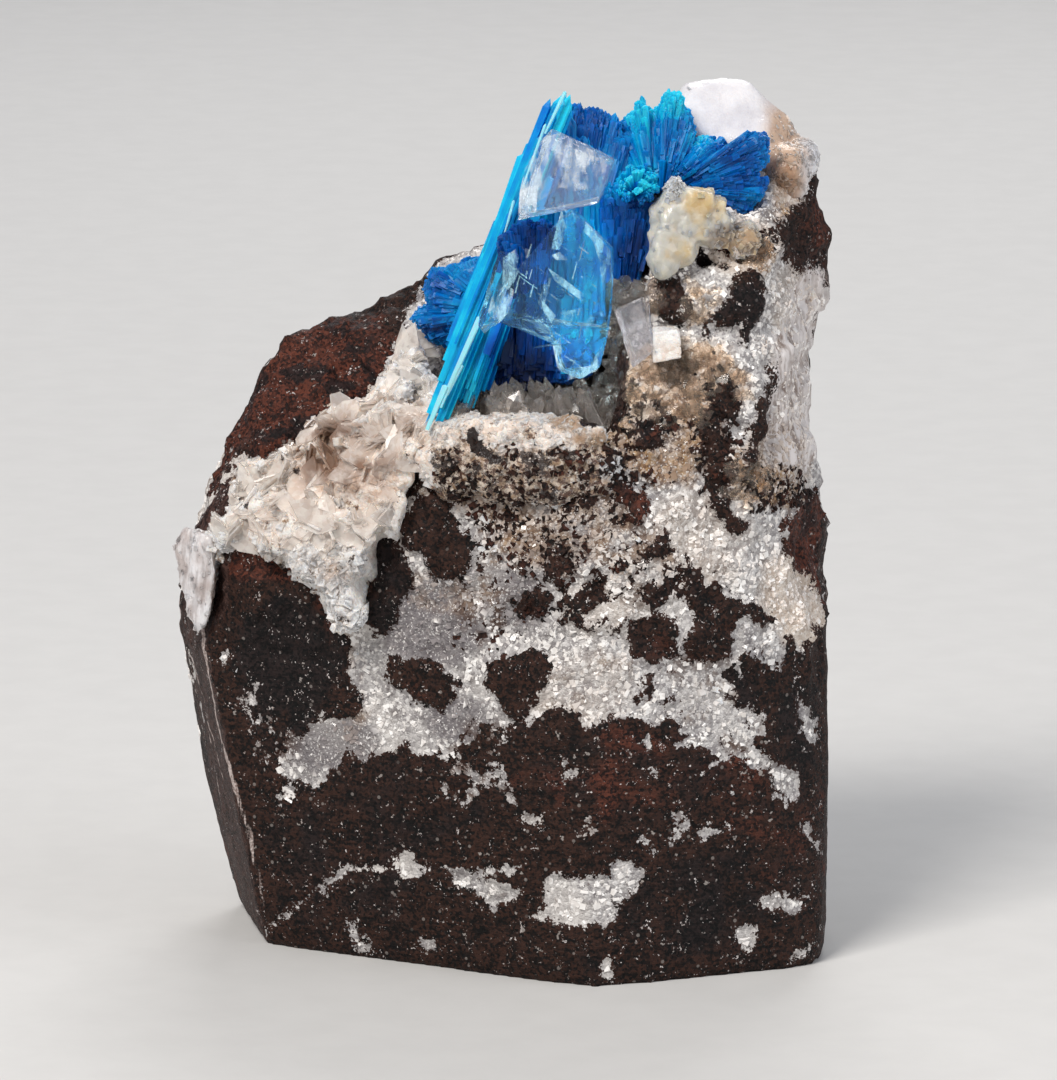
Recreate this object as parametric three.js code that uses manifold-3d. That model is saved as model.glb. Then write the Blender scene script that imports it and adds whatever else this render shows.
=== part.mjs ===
// A cavansite specimen: blue sprays of cavansite with clear calcite and white to peach
// stilbite, grown in a pocket of a basalt breccia block whose foot and sides are sawn.
// Millimetres, +Z up. It stands on its sawn foot at Z = 0; -Y is the show side.
import * as THREE from 'three';
import { ConvexGeometry } from 'three/addons/geometries/ConvexGeometry.js';
import { ImprovedNoise } from 'three/addons/math/ImprovedNoise.js';
import { mergeVertices } from 'three/addons/utils/BufferGeometryUtils.js';
import Module from 'manifold-3d';

const wasm = await Module();
wasm.setup();

// ---- driving dimensions ---------------------------------------------------------
const GAP = 0.32; // clearance between neighbouring solids
const ROOM_GROWTH = 1.4 * GAP; // how far the corners of a body grow, so that its faces keep the gap
const SEAT_DEPTH = 2; // how far the seat of a crystal is open towards the outside
const BROKEN_EDGE = 3.5; // longest facet edge on broken rock
const SAWN_EDGE = 5; // longest facet edge on the sawn faces
const FOOT_EDGE = 6; // longest facet edge on the flat foot
const SAWN_TOP = 14; // below this height the faces are sawn
const BROKEN_FROM = 20; // above this height the faces are broken rock
const SAWN_RELIEF = 0.12;
const BROKEN_RELIEF = 0.7;
const CRUST_EDGE = 2.6; // longest facet edge on the stilbite crust
const CRUST_RELIEF = 0.5;
const CRUST_OPEN = 0.5; // the crust is rough where it faces up and forward by more than this
const LEFT_SAW_TOP = 19; // the left saw cut reaches this height
const LEFT_FACING = [0.8, 0.95]; // how far left a face looks where the left saw cut begins and is full
const RIPPLES = [
  { size: 5.5, share: 1, shift: 3.7 }, // lumps of the broken rock
  { size: 2.9, share: 0.7, shift: 8.1 }, // and the smaller ones on them
];
const WELD = 1e-4; // corners closer than this are one corner
const GOLDEN_ANGLE = Math.PI * (3 - Math.sqrt(5));

// Corners of the rock's main lumps, each lump a convex body.
const FOOT = [
  [-11.8, -3.7], [2.4, -11.1], [4.6, -11.9], [6.9, -11.3], [14.4, -8.4], [15.8, -7.4],
  [16.1, -5.2], [15.6, 3], [12.6, 8.6], [4.5, 11.2], [-3, 11.5], [-10.8, 8.9], [-13.4, 4.5],
];
const BLOCK_TOP = [
  [-15.2, 4, 7.7], [-16.5, 3, 16.7], [-16.2, 3, 18.8], [-14.8, -2.4, 15.4],
  [-14.1, -2.4, 20.2], [-9.9, -4.4, 22.7], [-3.5, -7.4, 26.2], [-1.3, -8.8, 26.9],
  [2.9, -9.8, 26.8], [5.4, -9.8, 27.2], [11.7, -8.4, 24.7], [15.2, -6.6, 13],
  [16.2, -4.8, 12.9], [16.3, -1.4, 21.4], [15.6, 4, 22], [11.5, 9.3, 22],
  [-2, 11.2, 21], [-11, 8.6, 18], [-15.2, 6, 14],
];
const LEFT_KNOB = [
  [-16.2, 3, 18.6], [-14.8, 4, 22.5], [-13, 4.5, 25.7], [-10.3, 5, 29.5], [-8.8, 5.5, 30.4],
  [-14.2, -1.6, 20.8], [-11.8, -0.6, 23.6], [-8.8, 1.4, 26.4], [-7.2, 4.2, 29.8],
  [-14.2, 6.6, 19], [-9, 9.4, 23], [-5, 9.6, 26], [-7, 7, 29.6], [-4, 1, 22], [-10, -2, 18],
];
const BACK_KNOB = [
  [-8.4, 5.4, 29.6], [-7, 6, 30.8], [-5.1, 6.6, 32.1], [-2.8, 6, 33.4], [-0.5, 5, 33.8],
  [-6.4, 2.2, 27.8], [-4.6, 2.6, 29.6], [-1.6, 3, 31.6], [-3, 10.4, 26], [-6.5, 9.4, 27],
  [1, 9.6, 29], [-4, 0, 22], [3, 0, 22], [2, 9.4, 22],
];
const SADDLE = [
  [-1.6, 5.4, 33.4], [2.2, 4, 35], [6.5, 3.4, 39], [9, 4.6, 39.6], [0.5, 2.6, 33],
  [4.8, 1.6, 37.2], [-2, 9.8, 28], [7, 8.8, 32], [9, 8, 22], [-4, 9, 22], [-3, -1.5, 24],
  [9, -2, 24],
];
const TOWER = [
  [9, 0.9, 41.4], [12, 1.6, 41.7], [13.9, 2.4, 40.4], [15.4, 2, 38.8], [16.4, 1, 35.4],
  [16.3, 0.6, 32.4], [8.2, -4.2, 37.2], [10.2, -4.8, 37.3], [12.8, -5.2, 35.6],
  [12.2, -7.6, 30], [11.7, -8.4, 24.6], [5.9, -9.6, 27.6], [6.4, -8.4, 31.5], [6.2, -2.5, 38],
  [8.6, 4.8, 40.4], [12.5, 5.8, 38.6], [15, 5.2, 33], [10.4, 8.4, 27], [5.6, 7.4, 33],
];
const TOWER_ROOT = [
  [5.6, -9.8, 26], [11.9, -8.6, 23], [15.6, -1, 26], [15.9, -1.4, 20], [15.3, 4, 20],
  [11, 9, 20], [5, 9, 20], [15.4, 0.4, 32], [15.2, 4.6, 31], [9, 8.6, 28], [12, -7.4, 31],
  [6.4, -8, 31], [5.4, 7, 31],
];
const SHOULDER = [
  [11.7, -8.5, 24.4], [12.2, -7.8, 29], [15.3, -6.6, 13.4], [16.2, -4.7, 13.4],
  [16.4, -1.2, 21.6], [15.9, 0.2, 27.4], [5.8, -9.8, 25.6], [6.6, -8.4, 30.5], [12, 3, 20],
];
const BACK_SLOPE = [
  [-13.4, 7.2, 18], [-10.8, 8.8, 17], [-2, 11.3, 20], [4.5, 11, 20], [11.6, 9.4, 21.4],
  [15.6, 4, 21.6], [15.5, 4.6, 30], [12.6, 7, 34], [7, 8, 35], [0.5, 8.8, 31], [-6, 8.4, 29.6],
  [-10.4, 7, 26.4], [-14.2, 5.6, 21.4], [0, 2, 24], [9, 3, 24], [-9, 3, 22],
];
const POCKET = [
  [-2.8, -7.3, 27], [3.4, -8.6, 26.9], [4.8, -6, 26.9], [3, -1.2, 27.6], [-2.4, -1.6, 28],
  [-4, 0.4, 32.6], [2, 1.2, 35.6], [7, -0.6, 38.6], [7.4, -6.4, 37.4], [5.6, -12, 31],
  [-1.5, -13, 30], [0, -12, 42], [7.4, -12, 41],
];

// Corners of the single crystals and plain crusts, each a convex body.
const CALCITE_UPPER = [
  [2.1, -8.8, 41.8], [5.4, -8.1, 40.2], [4.7, -8.6, 38.4], [0.8, -9.2, 37.7],
  [2.5, -7.4, 42], [5.6, -6.7, 40.4], [5, -7.1, 38.6], [1.2, -7.8, 37.9],
];
const CALCITE_SLAB = [
  [3.4, -8.4, 38.2], [5.4, -8.5, 36.2], [5.5, -8.7, 34.6], [5.2, -9.1, 32],
  [2.6, -9.7, 31.7], [-0.3, -9.2, 32.8], [0.6, -8.9, 35],
  [3.6, -7, 38], [5.5, -6.9, 36], [5.3, -7.3, 32.2], [0, -7.6, 33], [0.8, -7.4, 35.2],
];
const CALCITE_LOBE = [
  [2.4, -9.6, 32.6], [5.3, -9.2, 32.4], [4.9, -9.5, 30.6], [3.9, -9.7, 29.9], [2.9, -9.6, 30.4],
  [2.4, -8.2, 32.4], [5.2, -7.8, 32.2], [4.6, -8.2, 30.5], [3.2, -8.3, 30.3],
];
const CALCITE_SHARD = [
  [-0.1, -8.9, 36.2], [0.9, -8.9, 36], [0.4, -9.4, 33.2], [-0.8, -9.6, 32.1], [-1.2, -9.3, 32.6],
  [0.1, -8, 36], [0.9, -8, 35.8], [-0.9, -8.6, 32.4],
];
const RHOMB_CLEAR = [
  [5.5, -9.6, 33.3], [6.8, -9, 33.9], [7.5, -9.3, 31.3], [6.4, -9.9, 30.5],
  [5.6, -8, 33.2], [7, -7.4, 33.7], [7.6, -7.6, 31.2], [6.4, -8.2, 30.6],
];
const RHOMB_WHITE = [
  [7.3, -9.2, 32.2], [8.7, -8.9, 32.3], [8.8, -9.1, 30.9], [7.4, -9.4, 30.7],
  [7.3, -7.6, 32.2], [8.7, -7.4, 32.2], [8.7, -7.6, 30.8], [7.3, -7.8, 30.7],
];
const WHITE_CAP = [
  [8.6, -0.6, 41.3], [9.1, 0.9, 42.9], [12.1, 1.8, 42.8], [14.1, 2.6, 40.9], [15.2, 2.4, 39],
  [13.6, -1, 39.6], [11, -1.9, 39.8], [8.8, 2.8, 42], [12.4, 3.6, 41.4], [14.2, 3.6, 39.4],
  [10, 1, 40], [13, 1.6, 38.2],
];
const EDGE_VEIN = [
  [-15.3, -2.2, 22.7], [-14.5, -2.9, 22.1], [-14.2, -3.3, 19.5], [-14.5, -3.3, 16.6],
  [-15.2, -2.7, 15.3], [-16.3, -0.9, 18.2], [-16.5, -0.4, 20.4], [-15.8, -0.6, 22.2],
  [-15.6, -1.2, 16.6], [-13.9, -1, 21.5], [-14.3, -1, 17],
];

// Stilbite: a crust on the slope beside the pocket, its tongue over the front and the
// pocket's sill.
const CRUST_SLOPE = [
  [-13.5, -2.8, 21.8], [-12.6, -0.8, 24.2], [-9.6, 0.8, 26.9], [-6.2, 2, 29.4], [-4.4, 0.8, 30],
  [-3.6, -3, 28.8], [-2.8, -7.8, 27.6], [-4.4, -8.1, 26.4], [-10.2, -5.7, 23],
  [-12.4, -1.6, 20], [-9, -3.4, 21], [-4, -4, 24], [-5, 0, 25],
];
const CRUST_TONGUE = [
  [-12.4, -4.8, 21.2], [-10.2, -5.8, 23.1], [-4.2, -8.2, 26.4], [-4.8, -8.4, 23.6],
  [-6.4, -8.5, 19], [-7.2, -8.4, 17], [-8.6, -7.7, 17.2], [-10.2, -6.7, 20],
  [-10.4, -4, 20.6], [-5.4, -6.6, 22.4], [-7.6, -7, 18.4], [-9.6, -4.2, 23.5], [-4.2, -6.2, 26.8],
];
const CRUST_SILL = [
  [-4, -8, 27.1], [-1.2, -9.5, 27.7], [1.6, -10, 27.8], [3.4, -10.4, 27.6], [5.3, -10.1, 27.6],
  [-3, -7.2, 27.6], [3.6, -8.7, 27.8], [-2.4, -7.4, 25.6], [4, -8.6, 25.6], [3.2, -10.4, 26.2],
  [-1, -9.5, 26], [-3.6, -8.2, 26],
];
const BLADE_FIELD = [[-12.4, -2.8, 22.4], [-4.4, -6.9, 26.8], [-11.6, -0.8, 24.4], [-4.8, 1, 29.4]];
const BLADE_ROWS = 4;
const BLADE_COLUMNS = 6;
const BLADE = { length: 1.5, varying: 0.4, width: 1, thickness: 0.34 };

// Long parallel laths of the main cavansite spray, each from its lower to its upper end.
const LATHS = [
  [[-3.6, -8, 27], [3.1, -5.9, 43.4]],
  [[-2.6, -7, 29], [2, -5.5, 41.8]],
  [[-2.6, -6.3, 30], [2, -4.8, 40.8]],
  [[-1.9, -7.5, 28], [2.7, -5.9, 41]],
  [[-2.3, -7.3, 28.6], [2.1, -6, 39.4]],
  [[-1.3, -6.8, 28.4], [3.4, -5, 42.8]],
];
const LATH = { width: 1.3, thickness: 1.1 };
const LATH_ROOT = { width: 0.55, thickness: 0.7 }; // shares of the full width and thickness
const LATH_SHOULDER = 0.8; // the tip begins at this share of the length
const CHISEL = 0.2; // half the width of the chisel edge at the tip, as a share of the width

// Rounded hearts of the sprays: centre, radii, how far the top leans towards +X, and the
// laths that spread from them; reach is the laths' length in radii.
const MAIN_HEARTS = [
  { centre: [2.9, -2.6, 35.2], radii: [2.9, 3.6, 6.8], lean: 0.26, laths: 15, reach: 1.16 },
  { centre: [5.7, -3.9, 36.2], radii: [1.8, 2.3, 3], lean: 0, laths: 6, reach: 1.12 },
];
const MAIN_LATH = { width: 1.9, thickness: 0.9 };
const RIGHT_HEARTS = [
  { centre: [7.8, -1.8, 40.5], radii: [2.1, 1.8, 2.1], lean: 0.1, laths: 11, reach: 1.2 },
  { centre: [10.9, -2.4, 38.8], radii: [2.3, 1.7, 2.1], lean: 0, laths: 11, reach: 1.18 },
];
const RIGHT_LATH = { width: 1.6, thickness: 0.7 };
const LEFT_HEARTS = [
  { centre: [-2.2, 0.4, 31.6], radii: [2.3, 2, 2.1], lean: 0, laths: 13, reach: 1.3 },
];
const LEFT_LATH = { width: 1.4, thickness: 0.6 };
const REACH_SHARES = { middle: 0.94, varying: 0.08 };
const BACKWARD_LIMIT = 0.25; // laths point back by less than this,
const UPWARD_FROM = 0.45; // unless they point up by more than this
const SMALL_BALL = { centre: [6.7, -5.4, 38.9], radii: [0.85, 0.85, 0.85] };
const YELLOW_LUMPS = [
  { centre: [8.9, -5.6, 37.2], radii: [1.7, 1.2, 1.5] },
  { centre: [10.3, -5.6, 36.8], radii: [1.1, 0.9, 1.2] },
  { centre: [8, -6.5, 35.4], radii: [0.9, 0.9, 1.3] },
];

// Upright prisms on the pocket's floor.
const FLOOR_PLATE = [
  [-2, -7.2, 27.3], [3.4, -8, 27.2], [4.2, -5.8, 27.2], [2.6, -4.6, 27.8], [-1.8, -5, 27.9],
  [-2, -7.2, 28], [3.4, -8, 27.9], [4.2, -5.8, 28], [2.6, -4.6, 28.5], [-1.8, -5, 28.6],
];
const FLOOR_PRISMS = 9;
const FLOOR_ROW = { from: -1.8, to: 3.6, y: -6.6, sway: 0.8, z: 27.6 };
const PRISM = { length: 1.7, varying: 0.5, width: 0.7, thickness: 0.5 };

// ---- solids ---------------------------------------------------------------------
const vec = ([x, y, z]) => new THREE.Vector3(x, y, z);
const { lerp, smoothstep } = THREE.MathUtils;

// A closed geometry as a solid that can be joined and cut.
function solid(geometry) {
  const bare = geometry.clone();
  for (const name of Object.keys(bare.attributes)) {
    if (name !== 'position') bare.deleteAttribute(name);
  }
  const merged = mergeVertices(bare, WELD);
  return new wasm.Manifold(new wasm.Mesh({
    numProp: 3,
    vertProperties: new Float32Array(merged.attributes.position.array),
    triVerts: new Uint32Array(merged.index.array),
  }));
}

const hull = (corners) => solid(new ConvexGeometry(corners.map(vec)));
const join = (solids) => solids.reduce((all, one) => all.add(one));

function surface(body) {
  const mesh = body.getMesh();
  const geometry = new THREE.BufferGeometry();
  geometry.setAttribute('position', new THREE.BufferAttribute(mesh.vertProperties.slice(), 3));
  geometry.setIndex(new THREE.BufferAttribute(mesh.triVerts.slice(), 1));
  return geometry;
}

// The surface without the loose chips that a cut may leave: its largest connected part.
function withoutChips(geometry) {
  const corners = geometry.index.array;
  const owner = Array.from({ length: geometry.attributes.position.count }, (_, i) => i);
  const find = (i) => {
    let at = i;
    while (owner[at] !== at) at = owner[at];
    owner[i] = at;
    return at;
  };
  for (let t = 0; t < corners.length; t += 3) {
    owner[find(corners[t + 1])] = find(corners[t]);
    owner[find(corners[t + 2])] = find(corners[t]);
  }
  const faces = new Map();
  for (let t = 0; t < corners.length; t += 3) {
    const part = find(corners[t]);
    faces.set(part, [...(faces.get(part) ?? []), corners[t], corners[t + 1], corners[t + 2]]);
  }
  const largest = [...faces.values()].reduce((a, b) => (b.length > a.length ? b : a));
  return mergeVertices(geometry.clone().setIndex(largest).toNonIndexed(), WELD / 100);
}

// The room that a convex body needs: the body grown by the gap.
const ROUND = [[1, 0, 0], [-1, 0, 0], [0, 1, 0], [0, -1, 0], [0, 0, 1], [0, 0, -1]];
function room(corners) {
  return hull(corners.flatMap((corner) => ROUND.map(
    (step) => corner.map((value, axis) => value + ROOM_GROWTH * step[axis]))));
}

// The seat that such a body needs in the rock: its room, open towards the outside.
function seat(corners, outward) {
  const step = vec(outward).setLength(SEAT_DEPTH).toArray();
  return hull(corners.flatMap((corner) => ROUND.flatMap((way) => [0, 1].map(
    (out) => corner.map((value, axis) => value + ROOM_GROWTH * way[axis] + out * step[axis])))));
}

// A body cut back from another one along the given directions, so that a gap is left.
function clearOf(body, other, directions) {
  return directions.reduce((rest, direction) => {
    const step = vec(direction).setLength(GAP);
    return rest.subtract(other.translate([step.x, step.y, step.z]));
  }, body.subtract(other));
}

function egg({ centre, radii, lean = 0 }) {
  const leaning = new THREE.Matrix4().makeShear(0, 0, 0, 0, lean, 0);
  const geometry = new THREE.IcosahedronGeometry(1, 1).scale(...radii);
  return geometry.applyMatrix4(leaning).translate(...centre);
}
function eggCorners(shape) {
  const { position } = egg(shape).attributes;
  return Array.from({ length: position.count }, (_, i) => [
    position.getX(i), position.getY(i), position.getZ(i)]);
}

// A flat lath from its root to a narrow chisel tip; `side` is the way its width lies.
function lath(root, tip, { width, thickness }, side) {
  const along = tip.clone().sub(root);
  const across = side.clone().projectOnPlane(along.clone().normalize()).normalize();
  const through = along.clone().cross(across).normalize();
  const ring = (share, wide, thick) => [[1, 1], [1, -1], [-1, 1], [-1, -1]].map(([s, t]) => root
    .clone().addScaledVector(along, share)
    .addScaledVector(across, s * wide * width / 2)
    .addScaledVector(through, t * thick * thickness / 2));
  const chisel = [1, -1].map((s) => tip.clone().addScaledVector(across, s * CHISEL * width));
  const foot = ring(0, LATH_ROOT.width, LATH_ROOT.thickness);
  return solid(new ConvexGeometry([...foot, ...ring(LATH_SHOULDER, 1, 1), ...chisel]));
}

// ---- rock -----------------------------------------------------------------------
const noise = new ImprovedNoise();
const rippled = (p) => RIPPLES.reduce((sum, { size, share, shift }) => sum + share * noise.noise(
  p.x / size + shift, p.y / size - shift, p.z / size + 2 * shift), 0);

// Splits every edge that is longer than its limit at its middle, until none is left.
function splitLongEdges(geometry, limit) {
  const flat = geometry.toNonIndexed().attributes.position;
  const corner = (i) => new THREE.Vector3().fromBufferAttribute(flat, i);
  const waiting = [];
  for (let i = 0; i < flat.count; i += 3) waiting.push([corner(i), corner(i + 1), corner(i + 2)]);
  const done = [];
  while (waiting.length) {
    const face = waiting.pop();
    const excess = face.map((a, k) => a.distanceTo(face[(k + 1) % 3]) / limit(a, face[(k + 1) % 3]));
    const worst = excess.indexOf(Math.max(...excess));
    if (excess[worst] <= 1) {
      done.push(...face);
    } else {
      const [a, b, c] = [0, 1, 2].map((k) => face[(worst + k) % 3]);
      const middle = a.clone().add(b).multiplyScalar(0.5);
      waiting.push([a, middle, c], [middle, b, c]);
    }
  }
  return mergeVertices(new THREE.BufferGeometry().setFromPoints(done), WELD);
}

// Moves a body's skin in and out by the relief that each place has.
function roughened(body, limit, relief) {
  const skin = splitLongEdges(surface(body), limit);
  skin.computeVertexNormals();
  const { position, normal } = skin.attributes;
  for (let i = 0; i < position.count; i += 1) {
    const p = new THREE.Vector3().fromBufferAttribute(position, i);
    const n = new THREE.Vector3().fromBufferAttribute(normal, i);
    p.addScaledVector(n, relief(p, n) * rippled(p));
    position.setXYZ(i, p.x, p.y, p.z);
  }
  return solid(skin);
}

const onFoot = (p) => p.z < 0.01;

function rockEdge(a, b) {
  if (onFoot(a) && onFoot(b)) return FOOT_EDGE;
  return Math.min(a.z, b.z) < SAWN_TOP ? SAWN_EDGE : BROKEN_EDGE;
}

// Hardly any relief on the sawn faces, strong relief on broken rock, none on the foot.
function rockRelief(p, n) {
  if (onFoot(p)) return 0;
  const broken = smoothstep(p.z, SAWN_TOP, BROKEN_FROM);
  const leftSawn = p.z < LEFT_SAW_TOP ? smoothstep(-n.x, ...LEFT_FACING) : 0;
  return lerp(SAWN_RELIEF, BROKEN_RELIEF, broken * (1 - leftSawn));
}

// The crust is rough where it faces up and forward, and plain where it sits in the rock.
function crustRelief(p, n) {
  return n.z - 0.6 * n.y > CRUST_OPEN ? CRUST_RELIEF : 0;
}

function basalt() {
  const block = hull([...FOOT.map(([x, y]) => [x, y, 0]), ...BLOCK_TOP]);
  const lumps = [LEFT_KNOB, BACK_KNOB, SADDLE, TOWER, TOWER_ROOT, SHOULDER, BACK_SLOPE].map(hull);
  const whole = join([block, ...lumps]).subtract(hull(POCKET));
  const seats = [
    [WHITE_CAP, [0, -0.3, 1]], [EDGE_VEIN, [-1, -0.5, 0]], [RHOMB_CLEAR, [0, -1, 0]],
    [RHOMB_WHITE, [0, -1, 0]], [CRUST_SLOPE, [0, -0.6, 1]], [CRUST_TONGUE, [0, -1, 0.2]],
    [CRUST_SILL, [0, -0.4, 1]],
  ].map(([corners, outward]) => seat(corners, outward));
  const hearts = [...MAIN_HEARTS, ...RIGHT_HEARTS, ...LEFT_HEARTS].map(eggCorners).map(room);
  return [...seats, ...hearts].reduce(
    (rest, cut) => rest.subtract(cut), roughened(whole, rockEdge, rockRelief));
}

// ---- crystals -------------------------------------------------------------------
// Laths that stick out of an egg-shaped heart, forward and up, away from the rock.
function spray({ laths, reach, ...heart }, size) {
  const { centre, radii, lean } = heart;
  const out = [solid(egg(heart))];
  for (let k = 0; k < laths; k += 1) {
    const up = 1 - 2 * (k + 0.5) / laths;
    const turn = k * GOLDEN_ANGLE;
    const level = Math.sqrt(1 - up * up);
    const way = new THREE.Vector3(level * Math.cos(turn), level * Math.sin(turn), up);
    if (way.y < BACKWARD_LIMIT || up > UPWARD_FROM) {
      const length = reach * (REACH_SHARES.middle + REACH_SHARES.varying * Math.sin(k * 5.3));
      const offset = way.clone().multiply(vec(radii)).multiplyScalar(length);
      offset.x += lean * offset.z;
      const side = new THREE.Vector3(Math.sin(turn * 1.7), Math.cos(turn * 1.7), 0.4);
      out.push(lath(vec(centre), vec(centre).add(offset), size, side));
    }
  }
  return join(out);
}

// Small tabular crystals in sheaves over the slope.
function stilbiteBlades() {
  const [a, b, c, d] = BLADE_FIELD.map(vec);
  const blades = [];
  for (let row = 0; row < BLADE_ROWS; row += 1) {
    for (let column = 0; column < BLADE_COLUMNS; column += 1) {
      const k = row * BLADE_COLUMNS + column;
      const u = (column + 0.5 + 0.3 * Math.sin(k * 4.1)) / BLADE_COLUMNS;
      const v = (row + 0.5 + 0.3 * Math.cos(k * 2.7)) / BLADE_ROWS;
      const root = a.clone().lerp(b, u).lerp(c.clone().lerp(d, u), v);
      const way = new THREE.Vector3(0.9 * Math.sin(k * 2.3), -0.75 + 0.5 * Math.cos(k * 3.1), 1);
      const length = BLADE.length + BLADE.varying * Math.sin(k * 1.9);
      const tip = root.clone().addScaledVector(way.normalize(), length);
      blades.push(lath(root, tip, BLADE, new THREE.Vector3(Math.cos(k), Math.sin(k), 0.3)));
    }
  }
  return blades;
}

function floorPrisms() {
  const prisms = [hull(FLOOR_PLATE)];
  for (let k = 0; k < FLOOR_PRISMS; k += 1) {
    const x = lerp(FLOOR_ROW.from, FLOOR_ROW.to, (k + 0.5) / FLOOR_PRISMS);
    const y = FLOOR_ROW.y - FLOOR_ROW.sway * Math.sin(k * 2.2);
    const root = new THREE.Vector3(x, y, FLOOR_ROW.z);
    const lean = new THREE.Vector3(0.5 * Math.sin(k * 1.7), -0.25 * Math.cos(k * 2.9), 1);
    const length = PRISM.length + PRISM.varying * Math.sin(k * 3.3);
    const tip = root.clone().addScaledVector(lean.normalize(), length);
    prisms.push(lath(root, tip, PRISM, new THREE.Vector3(Math.cos(k), Math.sin(k), 0)));
  }
  return join(prisms);
}

// ---- assembly -------------------------------------------------------------------
const FORWARD = [[0, -1, 0.8]];
const RIGHTWARD = [[1, 0.2, 0.3]];
const LEFTWARD = [[-1, 0.4, 0]];
const specimen = new THREE.Group();

function place(name, body, color, roughness, extra = {}) {
  const material = new THREE.MeshStandardMaterial({ color, roughness, metalness: 0, ...extra });
  const mesh = new THREE.Mesh(withoutChips(surface(body)), material);
  mesh.name = name;
  specimen.add(mesh);
}

const rock = basalt();
const calcites = [CALCITE_UPPER, CALCITE_SLAB, CALCITE_LOBE, CALCITE_SHARD];
const rooms = (...bodies) => join(bodies.map(room));
const laths = LATHS.map(([root, tip], k) => lath(
  vec(root), vec(tip), LATH, new THREE.Vector3(1, -0.5 + 0.2 * (k % 3), 0)));

const mainBody = join([
  ...MAIN_HEARTS.map((heart) => spray(heart, MAIN_LATH)), ...laths, solid(egg(SMALL_BALL))]);
const mainSpray = clearOf(mainBody.subtract(rooms(...calcites)), rock, FORWARD);
const rightBody = join(RIGHT_HEARTS.map((heart) => spray(heart, RIGHT_LATH)));
const rightSpray = clearOf(
  clearOf(rightBody.subtract(room(WHITE_CAP)), rock, FORWARD), mainSpray, RIGHTWARD);
const leftBody = join(LEFT_HEARTS.map((heart) => spray(heart, LEFT_LATH)));
const leftSpray = clearOf(clearOf(leftBody, rock, FORWARD), mainSpray, LEFTWARD);
const yellowBody = join(YELLOW_LUMPS.map((lump) => solid(egg(lump))));
const yellow = clearOf(
  clearOf(clearOf(yellowBody, rock, FORWARD), mainSpray, RIGHTWARD), rightSpray, FORWARD);
const crustBody = roughened(
  join([CRUST_SLOPE, CRUST_TONGUE, CRUST_SILL].map(hull)), () => CRUST_EDGE, crustRelief);
const crustBlades = join([crustBody, ...stilbiteBlades()]).subtract(rooms(EDGE_VEIN));
const crust = clearOf(
  clearOf(clearOf(crustBlades, rock, FORWARD), mainSpray, LEFTWARD), leftSpray, LEFTWARD);
const prisms = clearOf(clearOf(clearOf(floorPrisms(), rock, FORWARD), mainSpray, FORWARD), crust, FORWARD);

place('basalt_matrix', rock, 0x6b4a3c, 0.85);
place('stilbite_crust', crust, 0xe6d8c8, 0.4);
place('cavansite_main_spray', mainSpray, 0x0a6fb4, 0.3);
place('cavansite_right_spray', rightSpray, 0x0a8fc4, 0.35);
place('cavansite_left_spray', leftSpray, 0x0a5fae, 0.35);
place('calcite_upper', hull(CALCITE_UPPER), 0xd6cfd0, 0.1);
place('calcite_lower', join([CALCITE_SLAB, CALCITE_LOBE, CALCITE_SHARD].map(hull)), 0x9fd0e0, 0.1);
place('calcite_yellow', yellow, 0xd9cfa0, 0.4);
place('calcite_rhombs', join([RHOMB_CLEAR, RHOMB_WHITE].map(hull)), 0xe0e0e0, 0.15);
place('stilbite_cap', hull(WHITE_CAP), 0xe9e6e6, 0.5);
place('stilbite_edge_vein', hull(EDGE_VEIN), 0xcfc8c4, 0.3);
place('pocket_floor_prisms', prisms, 0x6a6a6c, 0.2);

export default specimen;
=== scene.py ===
"""Cavansite on stilbite and calcite, grown in a pocket of a sawn block of basalt breccia.

Lengths are in millimetres until a mesh is finished, and then in metres. The outlines of clasts
and stains are given as they are seen from the front, in twentieths of a millimetre: the first
number runs to the right and the second one down.
"""

import itertools
import math
import random
from collections import namedtuple

import bmesh
import bpy
import numpy as np
from mathutils import Matrix, Vector, noise


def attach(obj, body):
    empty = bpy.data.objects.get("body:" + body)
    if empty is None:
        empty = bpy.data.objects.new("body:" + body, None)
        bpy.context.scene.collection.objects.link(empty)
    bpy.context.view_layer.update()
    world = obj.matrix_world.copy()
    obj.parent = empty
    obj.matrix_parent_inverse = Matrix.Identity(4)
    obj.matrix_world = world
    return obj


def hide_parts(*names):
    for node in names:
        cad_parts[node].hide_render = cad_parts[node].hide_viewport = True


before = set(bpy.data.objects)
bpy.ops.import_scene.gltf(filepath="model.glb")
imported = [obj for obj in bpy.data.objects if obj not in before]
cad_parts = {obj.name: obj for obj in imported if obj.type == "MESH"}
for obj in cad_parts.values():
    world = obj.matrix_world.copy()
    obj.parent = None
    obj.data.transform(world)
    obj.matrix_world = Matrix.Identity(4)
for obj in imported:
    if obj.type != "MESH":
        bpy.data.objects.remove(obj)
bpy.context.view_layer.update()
MM = 0.001

# ---------------------------------------------------------------- view from the front
EYE = Vector((1.35, -410.8, 107.3))
AIM = Vector((1.35, 0.0, 19.94))
LENS = 280.0
SENSOR = 36.0
FRONT_CENTRE = (528.5, 540.0)
FRONT_UNIT = 0.05

AHEAD = (AIM - EYE).normalized()
REACH = (AIM - EYE).length
UPWARD = Vector((1, 0, 0)).cross(AHEAD).normalized()


def front_view(points):
    """Where points (an n x 3 array, mm) lie in the view from the front."""
    away = points - np.array(EYE)
    depth = away @ np.array(AHEAD)
    unit = FRONT_UNIT * depth / REACH
    u = FRONT_CENTRE[0] + away[:, 0] / unit
    v = FRONT_CENTRE[1] - (away @ np.array(UPWARD)) / unit
    return u, v


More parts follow.
